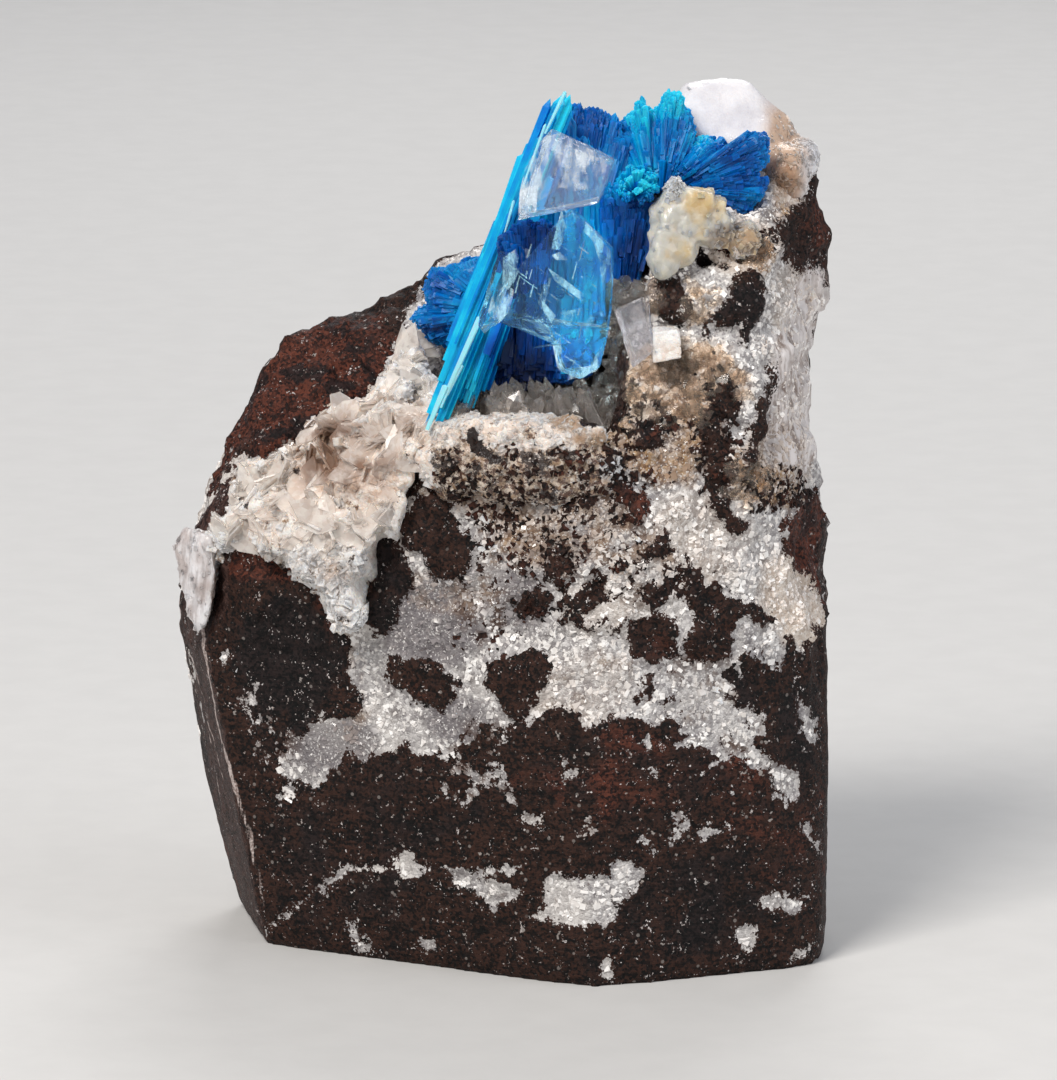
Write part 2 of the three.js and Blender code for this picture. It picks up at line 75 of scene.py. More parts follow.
def from_front(u, v, y):
    """The point (mm) that is seen at u, v and has this y."""
    ray = AHEAD * REACH + Vector((1, 0, 0)) * (u - FRONT_CENTRE[0]) * FRONT_UNIT
    ray += UPWARD * (FRONT_CENTRE[1] - v) * FRONT_UNIT
    return EYE + ray * ((y - EYE.y) / ray.y)


# ---------------------------------------------------------------- clasts, contacts and stains
# the basalt below the cement
CONTACT = [
    (100, 1100), (100, 560), (203, 600), (205, 578), (215, 560), (232, 549), (262, 552), (285, 555),
    (300, 576), (325, 590), (335, 615), (350, 640), (352, 665), (358, 690), (366, 712), (340, 717),
    (318, 716), (308, 728), (298, 741), (283, 743), (277, 758), (284, 778), (300, 782), (318, 784),
    (330, 770), (343, 762), (346, 750), (354, 758), (366, 760), (385, 746), (405, 740), (412, 753),
    (428, 757), (440, 753), (446, 766), (455, 771), (465, 765), (464, 745), (470, 730), (478, 721),
    (489, 730), (500, 739), (514, 722), (536, 716), (556, 703), (575, 712), (585, 728), (600, 722),
    (613, 714), (640, 718), (660, 728), (669, 720), (681, 718), (688, 735), (673, 745), (690, 744),
    (705, 751), (720, 756), (736, 752), (746, 766), (757, 772), (765, 767), (776, 787), (789, 803),
    (800, 790), (796, 776), (780, 767), (765, 755), (754, 745), (764, 727), (761, 715), (741, 708),
    (730, 700), (734, 681), (733, 662), (745, 648), (757, 656), (775, 671), (781, 655), (780, 640),
    (786, 631), (795, 641), (803, 651), (810, 631), (822, 622), (950, 600), (950, 1100),
]
# the bare rock of the left ridge
RIDGE = [
    (120, 545), (170, 552), (212, 545), (214, 505), (233, 478), (240, 455), (268, 462), (290, 445),
    (310, 425), (335, 408), (365, 400), (385, 372), (400, 345), (412, 305), (440, 262), (440, 200),
    (240, 200), (120, 420),
]
# pieces of basalt in the cement
CLASTS = [
    [(378, 525), (390, 527), (399, 546), (411, 565), (414, 590), (402, 600), (398, 624), (385, 637),
     (368, 626), (354, 605), (347, 590), (350, 577), (362, 573), (368, 555), (372, 538)],
    [(412, 500), (430, 495), (446, 498), (455, 515), (462, 530), (475, 548), (476, 562), (462, 580),
     (446, 585), (432, 575), (420, 552), (401, 543), (408, 520)],
    [(423, 470), (427, 474), (421, 490), (413, 502), (409, 492)],
    [(388, 656), (410, 658), (432, 656), (446, 665), (459, 684), (452, 698), (444, 713), (431, 709),
     (412, 701), (402, 690), (388, 682), (384, 668)],
    [(483, 672), (500, 665), (514, 655), (530, 648), (545, 656), (549, 680), (543, 697), (530, 713),
     (514, 718), (503, 708), (494, 695), (483, 682)],
    [(640, 618), (655, 613), (669, 618), (679, 629), (680, 646), (672, 660), (659, 669), (645, 664),
     (633, 655), (627, 640), (632, 625)],
    [(648, 587), (662, 580), (676, 585), (684, 597), (675, 602), (663, 604), (653, 613), (641, 601)],
    [(685, 560), (700, 569), (706, 582), (720, 580), (729, 592), (742, 600), (746, 612), (738, 626),
     (733, 640), (734, 655), (720, 661), (705, 664), (690, 652), (682, 638), (698, 625), (695, 606),
     (688, 590), (682, 575)],
    [(750, 600), (763, 606), (776, 619), (765, 629), (750, 622), (741, 611)],
    [(573, 466), (581, 475), (588, 495), (589, 506), (578, 500), (570, 487), (559, 479)],
    [(612, 465), (622, 478), (633, 485), (646, 492), (649, 510), (642, 526), (628, 522), (620, 505),
     (614, 496), (607, 481)],
    [(640, 545), (650, 540), (663, 535), (668, 548), (656, 557), (641, 554)],
    [(568, 592), (581, 590), (596, 587), (599, 598), (588, 611), (575, 605), (565, 600)],
    [(564, 621), (575, 614), (590, 622), (606, 618), (601, 630), (585, 631), (572, 626)],
    [(611, 631), (625, 620), (622, 633)],
    [(547, 570), (561, 561), (566, 575), (560, 589), (550, 583)],
    [(640, 685), (651, 676), (653, 690), (645, 699), (631, 700)],
    [(658, 700), (668, 695), (679, 702), (668, 709)],
    [(525, 600), (545, 595), (550, 600), (535, 612), (527, 610)],
    [(662, 275), (675, 267), (681, 285), (689, 305), (691, 322), (678, 327), (665, 325), (660, 310),
     (664, 295), (656, 284)],
    [(735, 277), (755, 269), (766, 280), (766, 300), (761, 320), (752, 336), (745, 347), (738, 340),
     (742, 325), (728, 333), (715, 325), (707, 341), (702, 337), (708, 320), (720, 308), (729, 300),
     (731, 290)],
    [(787, 335), (791, 355), (781, 376), (773, 400), (766, 430), (760, 456), (748, 471), (742, 484),
     (739, 465), (748, 440), (752, 410), (757, 390), (767, 370), (778, 355)],
    [(715, 393), (731, 384), (736, 400), (729, 425), (722, 450), (735, 470), (738, 486), (725, 492),
     (735, 514), (746, 525), (742, 536), (729, 530), (715, 515), (708, 496), (706, 465), (712, 440),
     (707, 420), (711, 405)],
    [(794, 164), (812, 169), (826, 200), (845, 230), (845, 282), (815, 291), (800, 280), (790, 262),
     (780, 245), (769, 231), (785, 214), (801, 200), (791, 184)],
    [(800, 495), (815, 489), (850, 476), (850, 592), (822, 593), (807, 580), (795, 570), (781, 555),
     (779, 530), (785, 517)],
    [(648, 419), (661, 417), (667, 425), (663, 441), (652, 449), (640, 450), (631, 446), (641, 435)],
    [(583, 418), (597, 413), (606, 420), (598, 428), (584, 429)],
    [(467, 428), (475, 427), (481, 437), (491, 448), (500, 459), (484, 455), (470, 440)],
]
# a slit in the rock under the yellow calcite: a groove, painted dark as basalt and black as the shade
# in it
SLIT = [(682, 242), (700, 247), (716, 256), (729, 267), (716, 265), (703, 268), (696, 257)]
# patches of cement in the basalt
WHITES = [
    [(547, 880), (575, 876), (609, 880), (612, 864), (630, 865), (642, 870), (640, 881), (629, 895),
     (618, 904), (615, 916), (603, 924), (585, 920), (530, 918), (549, 912)],
    [(454, 876), (470, 871), (483, 873), (479, 880), (496, 883), (521, 892), (518, 903), (504, 903),
     (497, 916), (489, 903), (475, 893), (457, 887)],
    [(395, 852), (410, 852), (413, 868), (421, 876), (403, 876), (397, 865), (387, 864)],
    [(760, 905), (767, 894), (776, 889), (784, 897), (805, 897), (800, 909), (787, 912)],
    [(736, 929), (756, 928), (755, 946), (745, 951), (735, 942)],
    [(789, 956), (805, 948), (815, 944), (806, 955), (797, 961)],
    [(346, 919), (358, 926), (363, 940), (373, 945), (372, 956), (360, 950), (352, 935)],
    [(419, 940), (432, 939), (439, 945), (425, 951)],
    [(280, 785), (292, 783), (301, 798), (291, 807), (277, 800)],
    [(671, 830), (675, 824), (683, 833), (677, 840), (669, 844)],
    [(640, 743), (647, 738), (650, 748), (643, 752)],
    [(655, 770), (657, 775), (648, 773)],
    [(670, 812), (678, 809), (677, 819), (670, 818)],
    [(520, 815), (543, 816), (541, 828), (524, 830)],
    [(583, 820), (592, 822), (589, 829), (580, 826)],
    [(560, 760), (572, 768), (578, 776), (566, 772)],
    [(797, 690), (806, 705), (813, 722), (820, 742), (808, 742), (799, 722)],
    [(244, 690), (258, 686), (262, 697), (250, 701)],
    [(222, 652), (232, 656), (226, 663), (219, 660)],
    [(604, 958), (614, 962), (616, 984), (606, 980)],
    [(655, 426), (663, 424), (665, 437), (657, 441)],
]
# thin veins of cement: their line and half their width in mm
VEINS = [
    ([(262, 938), (282, 915), (300, 899), (325, 887), (345, 872), (392, 864), (455, 873), (498, 871),
      (522, 864)], 0.07),
    ([(700, 778), (706, 768), (716, 760), (728, 756)], 0.07),
    ([(700, 795), (708, 789), (722, 791)], 0.06),
    ([(690, 824), (701, 835), (713, 832), (727, 824)], 0.13),
    ([(643, 842), (655, 852)], 0.07),
    ([(802, 822), (810, 835), (820, 853)], 0.12),
    ([(238, 700), (250, 716), (262, 724)], 0.22),
    ([(452, 790), (462, 800), (470, 790), (492, 770), (507, 790), (515, 798)], 0.16),
]
# the light lines on the saw cut on the left: its long edge and the fainter ones beside it
CUT_EDGE = [
    (203, 606), (204, 640), (211, 682), (219, 722), (229, 765), (236, 792), (247, 829), (259, 888),
    (268, 925),
]
CUT_THREADS = [
    [(191, 655), (203, 700), (210, 740)], [(198, 690), (213, 738), (224, 775)],
    [(214, 770), (226, 820), (236, 866)], [(235, 884), (245, 913)],
]
# stains: middle, half widths and strength, as seen from the front; first warm white
CREAM = [
    (510, 436, 110, 44, 1.0), (330, 500, 120, 110, 0.5), (585, 690, 60, 50, 0.42),
    (360, 450, 90, 80, 0.8), (600, 590, 60, 60, 0.35), (786, 150, 22, 60, 1.0),
    (700, 540, 75, 60, 0.45), (795, 600, 45, 60, 0.75),
    (800, 350, 30, 130, 0.6), (690, 380, 60, 50, 0.6), (745, 245, 40, 32, 0.7),
    (785, 130, 25, 60, 0.6), (330, 640, 30, 60, 0.4), (540, 500, 90, 40, 0.4),
]
# brown, in the hollow of the crust
BOWL = [
    (335, 455, 46, 40, 1.0), (300, 440, 26, 22, 0.6), (362, 470, 34, 30, 0.8), (415, 420, 20, 24, 0.4),
    (335, 575, 18, 14, 0.5),
]
# bright needles in the crust's hollow: lower end, upper end and width in mm
NEEDLES = [
    ((330, 437), (351, 449), 0.14), ((346, 423), (365, 443), 0.12), ((305, 491), (327, 465), 0.2),
    ((343, 488), (348, 468), 0.1), ((361, 481), (367, 457), 0.12), ((318, 452), (326, 430), 0.1),
    ((352, 470), (372, 462), 0.1), ((322, 512), (336, 540), 0.14), ((296, 470), (280, 452), 0.14),
    ((330, 470), (315, 447), 0.1), ((375, 440), (388, 424), 0.12), ((262, 500), (290, 492), 0.16),
    ((385, 395), (402, 372), 0.14), ((300, 520), (322, 530), 0.12), ((246, 505), (262, 478), 0.16),
]
# grey, where the cement is clear and dark
COLD = [
    (430, 625, 60, 50, 0.9), (330, 745, 60, 34, 0.8), (520, 600, 40, 40, 0.7), (455, 720, 40, 30, 0.7),
    (560, 540, 50, 40, 0.7), (690, 700, 30, 30, 0.4), (760, 640, 26, 26, 0.5), (790, 700, 16, 60, 0.8),
    (480, 590, 40, 30, 0.6), (660, 300, 22, 26, 0.5),
]
# ochre and tan dust
OCHRE = [
    (566, 420, 30, 15, 0.9), (520, 456, 80, 11, 1.0), (600, 438, 45, 26, 0.9),
    (560, 482, 110, 24, 0.55), (655, 462, 55, 22, 0.85), (448, 455, 20, 15, 0.8),
    (620, 570, 14, 22, 0.6), (690, 440, 22, 40, 0.7), (745, 480, 28, 30, 0.8),
    (775, 490, 36, 24, 1.0), (742, 243, 32, 18, 0.8), (762, 262, 9, 26, 1.0),
    (490, 486, 64, 34, 0.75), (545, 505, 44, 34, 0.5), (455, 478, 24, 16, 0.9),
    (786, 195, 14, 40, 0.8), (440, 492, 34, 8, 0.9), (500, 545, 34, 26, 0.5),
    (765, 350, 16, 30, 0.5), (230, 490, 6, 30, 0.8),
]
# yellow patches of the cloudy calcite, and the glassy crystals beside the pocket
HONEY = [
    (699, 209, 17, 24, 1.0), (678, 254, 20, 18, 0.75), (690, 230, 22, 16, 0.5), (718, 216, 12, 18, 0.6),
]
GLASSY = [
    (690, 385, 50, 42, 1.0), (622, 402, 24, 22, 1.0), (655, 372, 24, 18, 0.8), (700, 300, 22, 22, 0.5),
    (752, 250, 20, 16, 0.7), (745, 480, 26, 22, 0.6), (590, 450, 26, 12, 0.5), (655, 300, 12, 24, 0.4),
]
TAN = [
    (500, 485, 90, 44, 0.9), (560, 520, 90, 60, 0.8), (600, 440, 70, 36, 1.0), (700, 390, 60, 40, 0.9),
    (670, 450, 60, 40, 1.0), (660, 370, 40, 30, 0.8), (745, 250, 40, 30, 0.7), (790, 200, 20, 60, 0.7),
    (775, 470, 44, 50, 0.9), (640, 560, 50, 40, 0.5), (590, 690, 90, 50, 0.35), (445, 590, 60, 30, 0.5),
    (350, 700, 24, 70, 0.5), (720, 700, 60, 40, 0.35), (784, 165, 22, 60, 1.0), (742, 248, 24, 26, 0.8),
]
# cement that is full of brown rock crumbs
DUSKY = [
    (470, 480, 40, 22, 0.8), (520, 470, 60, 24, 1.0), (575, 462, 30, 18, 0.7), (500, 520, 26, 30, 0.6),
    (560, 545, 26, 40, 0.6), (520, 560, 24, 24, 0.5), (480, 640, 30, 24, 0.35), (640, 420, 40, 26, 0.4),
    (715, 420, 26, 60, 0.5), (610, 580, 30, 26, 0.5), (545, 610, 40, 16, 0.5),
]
# dark clasts in the crust along the pocket's rim
SILL_CLASTS = [
    [(466, 427), (472, 426), (478, 433), (484, 443), (492, 452), (503, 458), (506, 465), (494, 463),
     (482, 459), (473, 453), (466, 443)],
    [(440, 473), (449, 471), (458, 463), (464, 451), (458, 453), (450, 464)],
    [(580, 420), (585, 414), (598, 411), (608, 417), (598, 427), (584, 428)],
]
# red and black basalt; the black on the slit under the yellow calcite is painted shade
RUST = [
    (300, 380, 120, 95, 1.0), (200, 480, 45, 75, 1.0), (255, 530, 34, 22, 1.0),
    (340, 600, 24, 40, 0.6), (812, 540, 40, 62, 0.9), (640, 500, 30, 30, 0.45),
    (265, 565, 60, 18, 0.9), (670, 640, 70, 70, 0.35), (815, 240, 34, 60, 0.5),
    (640, 770, 150, 60, 0.45), (780, 820, 60, 80, 0.4), (430, 680, 30, 26, 0.3),
]
BLACK_AND_SLIT_SHADE = [
    (290, 660, 60, 80, 0.9), (275, 395, 24, 26, 0.9), (225, 430, 20, 20, 0.8), (745, 320, 28, 36, 0.8),
    (740, 690, 24, 30, 0.8), (390, 590, 24, 50, 0.7), (690, 900, 90, 60, 0.5), (655, 432, 22, 18, 1.0),
    (800, 720, 24, 50, 0.6), (706, 256, 26, 14, 1.0), (350, 850, 120, 90, 0.35),
]
# the smooth vein down the right flank
MILKY = [
    (804, 380, 34, 90, 1.0), (796, 440, 30, 34, 1.0), (808, 300, 26, 34, 0.8),
]
# where basalt and cement are crumbled together
CRUMBLED = [
    (505, 480, 80, 34, 1.3), (540, 560, 50, 30, 0.7), (590, 470, 60, 22, 0.9), (690, 430, 40, 60, 0.6),
    (560, 520, 90, 44, 1.0), (640, 570, 50, 40, 0.8), (480, 600, 30, 40, 0.8), (640, 400, 50, 30, 0.7),
    (500, 525, 40, 45, 0.8), (570, 500, 80, 50, 0.8), (610, 540, 60, 30, 0.7), (500, 630, 26, 40, 0.9),
    (470, 460, 40, 30, 0.5), (660, 560, 30, 20, 0.8), (480, 770, 44, 50, 0.8), (260, 740, 40, 34, 0.8),
    (740, 735, 26, 20, 0.9), (700, 670, 50, 20, 0.5), (720, 440, 16, 60, 0.8), (590, 800, 40, 40, 0.6),
    (380, 820, 60, 30, 0.6), (300, 820, 40, 30, 0.5), (265, 690, 40, 20, 0.6), (600, 455, 40, 30, 0.5),
    (650, 300, 16, 24, 0.6), (640, 800, 160, 50, 0.35), (780, 440, 14, 40, 0.5),
]


def smooth(x, low, high):
    t = np.clip((x - low) / (high - low), 0.0, 1.0)
    return t * t * (3 - 2 * t)


def to_line(u, v, path):
    """Distance in mm, in the view from the front, to a line of points."""
    best = np.full(u.shape, 1e9)
    for (ua, va), (ub, vb) in zip(path, path[1:]):
        du, dv = ub - ua, vb - va
        t = np.clip(((u - ua) * du + (v - va) * dv) / (du * du + dv * dv), 0, 1)
        best = np.minimum(best, (u - ua - t * du) ** 2 + (v - va - t * dv) ** 2)
    return np.sqrt(best) * FRONT_UNIT


def to_thread(points, line):
    """Distance in mm to a line of points in space."""
    best = np.full(len(points), 1e9)
    for a, b in zip(line, line[1:]):
        way = b - a
        t = np.clip((points - a) @ way / (way @ way + 1e-9), 0, 1)
        best = np.minimum(best, np.linalg.norm(points - a - t[:, None] * way, axis=1))
    return best


def within(u, v, outline):
    """Depth in mm inside an outline, negative outside it."""
    crossings = np.zeros(u.shape, bool)
    closed = outline + outline[:1]
    for (ua, va), (ub, vb) in zip(closed, closed[1:]):
        if va != vb:
            reach = ua + (v - va) * (ub - ua) / (vb - va)
            crossings ^= ((va > v) != (vb > v)) & (u < reach)
    return np.where(crossings, 1, -1) * to_line(u, v, closed)


def spots(u, v, stains):
    """Strength of the strongest soft stain."""
    best = np.zeros(u.shape)
    for middle_u, middle_v, half_u, half_v, strength in stains:
        r = np.hypot((u - middle_u) / half_u, (v - middle_v) / half_v)
        best = np.maximum(best, strength * (1 - smooth(r, 0.55, 1.25)))
    return best


def grain_field(points, size, octaves, offset):
    """Fractal noise of about -1 to 1 at points (mm) with this grain size."""
    shift = Vector((offset, offset * 0.7, -offset * 1.3))
    return np.array([noise.fractal(Vector(p) / size + shift, 1.0, 2.1, octaves) for p in points])


# ---------------------------------------------------------------- mesh helpers
def merged(node):
    """A closed copy of a CAD node, in mm."""
    bm = bmesh.new()
    bm.from_mesh(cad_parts[node].data)
    bmesh.ops.scale(bm, vec=(1 / MM,) * 3, verts=bm.verts)
    bmesh.ops.remove_doubles(bm, verts=bm.verts, dist=0.001)
    return bm


def as_object(bm, name):
    mesh = bpy.data.meshes.new(name)
    bm.to_mesh(mesh)
    bm.free()
    piece = bpy.data.objects.new(name, mesh)
    bpy.context.scene.collection.objects.link(piece)
    return piece


def evenly_meshed(bm, voxel):
    """The same closed form with a fine even mesh."""
    piece = as_object(bm, "even_mesh")
    even = piece.modifiers.new("even", "REMESH")
    even.mode = "VOXEL"
    even.voxel_size = voxel
    even.use_smooth_shade = True
    graph = bpy.context.evaluated_depsgraph_get()
    mesh = bpy.data.meshes.new_from_object(piece.evaluated_get(graph))
    bpy.data.objects.remove(piece)
    fine = bmesh.new()
    fine.from_mesh(mesh)
    bpy.data.meshes.remove(mesh)
    return fine


def points_of(mesh):
    co = np.empty(len(mesh.vertices) * 3, np.float32)
    mesh.vertices.foreach_get("co", co)
    return co.reshape(-1, 3).astype(float)


def normals_of(mesh):
    out = np.empty(len(mesh.vertices) * 3, np.float32)
    mesh.vertex_normals.foreach_get("vector", out)
    return out.reshape(-1, 3).astype(float)


def put_points(mesh, points):
    mesh.vertices.foreach_set("co", points.astype(np.float32).ravel())


def to_front(normals):
    """How squarely normals face the view from the front, from -1 to 1."""
    return -normals @ np.array(AHEAD)


def smoothed(bm, verts, times, upright=True):
    for _ in range(times):
        bmesh.ops.smooth_vert(bm, verts=verts, factor=0.5, use_axis_x=True, use_axis_y=True,
                              use_axis_z=upright)


def values_of(mesh, name):
    out = np.empty(len(mesh.vertices), np.float32)
    mesh.attributes[name].data.foreach_get("value", out)
    return out


def give(mesh, name, values):
    layer = mesh.attributes.new(name, "FLOAT", "POINT")
    layer.data.foreach_set("value", np.asarray(values, np.float32))


def finished(piece, material, slot, *nodes):
    """Puts a piece made in mm in its place in the frame."""
    mesh = piece.data
    mesh.transform(Matrix.Scale(MM, 4))
    mesh.materials.clear()
    mesh.materials.append(material)
    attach(piece, "root")
    if nodes:
        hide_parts(*nodes)
    triangles = sum(len(p.vertices) - 2 for p in mesh.polygons)
    print(f"{piece.name}: {triangles} triangles")
    return piece


def stained(mesh):
    """Gives a mesh (mm) the soft colour stains of the whole specimen."""
    points = points_of(mesh)
    u, v = front_view(points)
    seen = smooth(to_front(normals_of(mesh)), -0.1, 0.25)
    wander = grain_field(points, 2.2, 2, 3.0)
    broad = grain_field(points, 6.0, 2, 9.0)
    cream = spots(u + 9 * wander, v, CREAM) - spots(u, v + 9 * wander, COLD)
    give(mesh, "cream", np.clip(cream * seen + (1 - seen) * smooth(broad, -0.2, 0.6) * 0.8, -1, 1))
    give(mesh, "bowl", spots(u + 5 * wander, v, BOWL))
    give(mesh, "ochre", np.clip(spots(u + 7 * wander, v + 5 * broad, OCHRE) * seen
                                + (1 - seen) * smooth(wander * broad, 0.05, 0.4) * 0.8, 0, 1))
    ledge = smooth(v + 8 * wander, 438, 458) * smooth(u, 424, 442) * (1 - smooth(u, 594, 610))
    give(mesh, "soiled", ledge * (1 - smooth(v, 500, 512)))
    give(mesh, "honey", spots(u + 6 * wander, v + 6 * broad, HONEY))
    give(mesh, "tan", spots(u + 6 * wander, v + 8 * broad, TAN) * seen + (1 - seen) * 0.4)
    return points, u, v, seen


# ---------------------------------------------------------------- node helpers
class Field:
    """A value that varies over a surface: an output of a shader node, with its arithmetic."""

    def __init__(self, socket):
        self.socket = socket
        self.tree = socket.id_data

    def joined(self, operation, first, second, clamp=False):
        return field(self.tree, "ShaderNodeMath", {"operation": operation, "use_clamp": clamp},
                     in0=first, in1=second)

    def __add__(self, other):
        return self.joined("ADD", self, other)

    def __sub__(self, other):
        return self.joined("SUBTRACT", self, other)

    def __rsub__(self, other):
        return self.joined("SUBTRACT", other, self)

    def __mul__(self, other):
        return self.joined("MULTIPLY", self, other)

    def __rtruediv__(self, other):
        return self.joined("DIVIDE", other, self)

    def maximum(self, other):
        return self.joined("MAXIMUM", self, other)

    def part(self, share):
        """The product, kept between 0 and 1."""
        return self.joined("MULTIPLY", self, share, True)

    def step(self, low, high, start=0.0, end=1.0):
        """A soft step from start to end while the value goes from low to high."""
        return field(self.tree, "ShaderNodeMapRange", {"interpolation_type": "SMOOTHSTEP"},
                     value=self, from_min=low, from_max=high, to_min=start, to_max=end)


def plug(value, socket):
    """Feeds a socket from a field, or sets it to a plain value."""
    if isinstance(value, Field):
        value.tree.links.new(value.socket, socket)
    else:
        socket.default_value = value


def add(tree, kind, settings=None, **inputs):
    """Adds a node; its inputs are named in lower case, or by number as in0 and in1."""
    made = tree.nodes.new(kind)
    for key, value in (settings or {}).items():
        setattr(made, key, value)
    for key, value in inputs.items():
        if key[:2] == "in":
            socket = made.inputs[int(key[2:])]
        else:
            socket = next(s for s in made.inputs
                          if s.enabled and s.name.lower().replace(" ", "_") == key)
        plug(value, socket)
    return made


def field(tree, kind, settings=None, **inputs):
    return Field(add(tree, kind, settings, **inputs).outputs[0])


def new_material(name):
    material = bpy.data.materials.new(name)
    material.use_nodes = True
    material.node_tree.nodes.clear()
    return material, material.node_tree


def rgb(red, green, blue):
    """A linear colour from display values of 0 to 255."""
    def linear(c):
        c = c / 255
        return c / 12.92 if c <= 0.04045 else ((c + 0.055) / 1.055) ** 2.4
    return (linear(red), linear(green), linear(blue), 1.0)


def mix(factor, a, b):
    """A mix of two colours; a plain number stands for a grey."""
    tree = next(value.tree for value in (factor, a, b) if isinstance(value, Field))
    made = add(tree, "ShaderNodeMix", {"data_type": "RGBA"})
    plug(factor, made.inputs[0])
    for value, socket in ((a, made.inputs[6]), (b, made.inputs[7])):
        plug(value if isinstance(value, (Field, tuple)) else (value, value, value, 1.0), socket)
    return Field(made.outputs[2])


def object_place(tree, stretch=(1.0, 1.0, 1.0), turn=(0.0, 0.0, 0.0)):
    """Object coordinates in millimetres, stretched and turned."""
    place = Field(add(tree, "ShaderNodeTexCoord").outputs["Object"])
    return field(tree, "ShaderNodeMapping", vector=place, rotation=turn,
                 scale=tuple(s / MM for s in stretch))


def grains(place, size, detail, roughness=0.5):
    """Soft noise with grains of this size (mm)."""
    return field(place.tree, "ShaderNodeTexNoise", vector=place, scale=1 / size, detail=detail,
                 roughness=roughness)


def cells(place, scale):
    """Round grains: the distance to the middle of the nearest one, and its chance numbers."""
    made = add(place.tree, "ShaderNodeTexVoronoi", vector=place, scale=scale)
    chances = add(place.tree, "ShaderNodeSeparateColor", color=Field(made.outputs["Color"]))
    return Field(made.outputs["Distance"]), [Field(socket) for socket in chances.outputs]


def stain(tree, name):
    """The stain of this name that is kept with the mesh."""
    return Field(add(tree, "ShaderNodeAttribute", {"attribute_name": name}).outputs["Fac"])


def sheer(tree, share):
    """Alpha that lets this share of the light through to what lies behind a crystal."""
    shadow = Field(add(tree, "ShaderNodeLightPath").outputs["Is Shadow Ray"])
    return 1.0 - shadow * share


def surface(tree, **inputs):
    shader = add(tree, "ShaderNodeBsdfPrincipled", **inputs)
    out = add(tree, "ShaderNodeOutputMaterial")
    tree.links.new(shader.outputs[0], out.inputs["Surface"])


def relief(height, strength, depth):
    """Bump of this depth (mm)."""
    return field(height.tree, "ShaderNodeBump", height=height, strength=strength, distance=depth * MM)


def sugar_group():
    """Fine crystal grain: a light-and-dark mask, sparkle and a height."""
    group = bpy.data.node_groups.new("sugary_grain", "ShaderNodeTree")
    for name, kind, way in (("Place", "Vector", "INPUT"), ("Size", "Float", "INPUT"),
                            ("Shade", "Float", "OUTPUT"), ("Sparkle", "Float", "OUTPUT"),
                            ("Height", "Float", "OUTPUT")):
        group.interface.new_socket(name, in_out=way, socket_type="NodeSocket" + kind)
    inside = add(group, "NodeGroupInput").outputs
    place, size = Field(inside["Place"]), Field(inside["Size"])
    scale = 1.0 / size
    far, chance = cells(place, scale)
    far_small, chance_small = cells(place, scale * 2.6)
    soft = field(group, "ShaderNodeTexNoise", vector=place, scale=scale, detail=3.0)
    outside = add(group, "NodeGroupOutput").inputs
    plug(mix(0.5, chance[0], soft), outside["Shade"])
    plug(chance_small[1].step(0.86, 0.93), outside["Sparkle"])
    plug(far * -0.7 + far_small * -0.45 + chance[1] * 0.3, outside["Height"])
    return group


SUGAR = sugar_group()


def sugar(place, size):
    """The shade, sparkle and height of fine crystals of this size (mm)."""
    made = add(place.tree, "ShaderNodeGroup", {"node_tree": SUGAR})
    plug(place, made.inputs["Place"])
    plug(size, made.inputs["Size"])
    return [Field(socket) for socket in made.outputs]


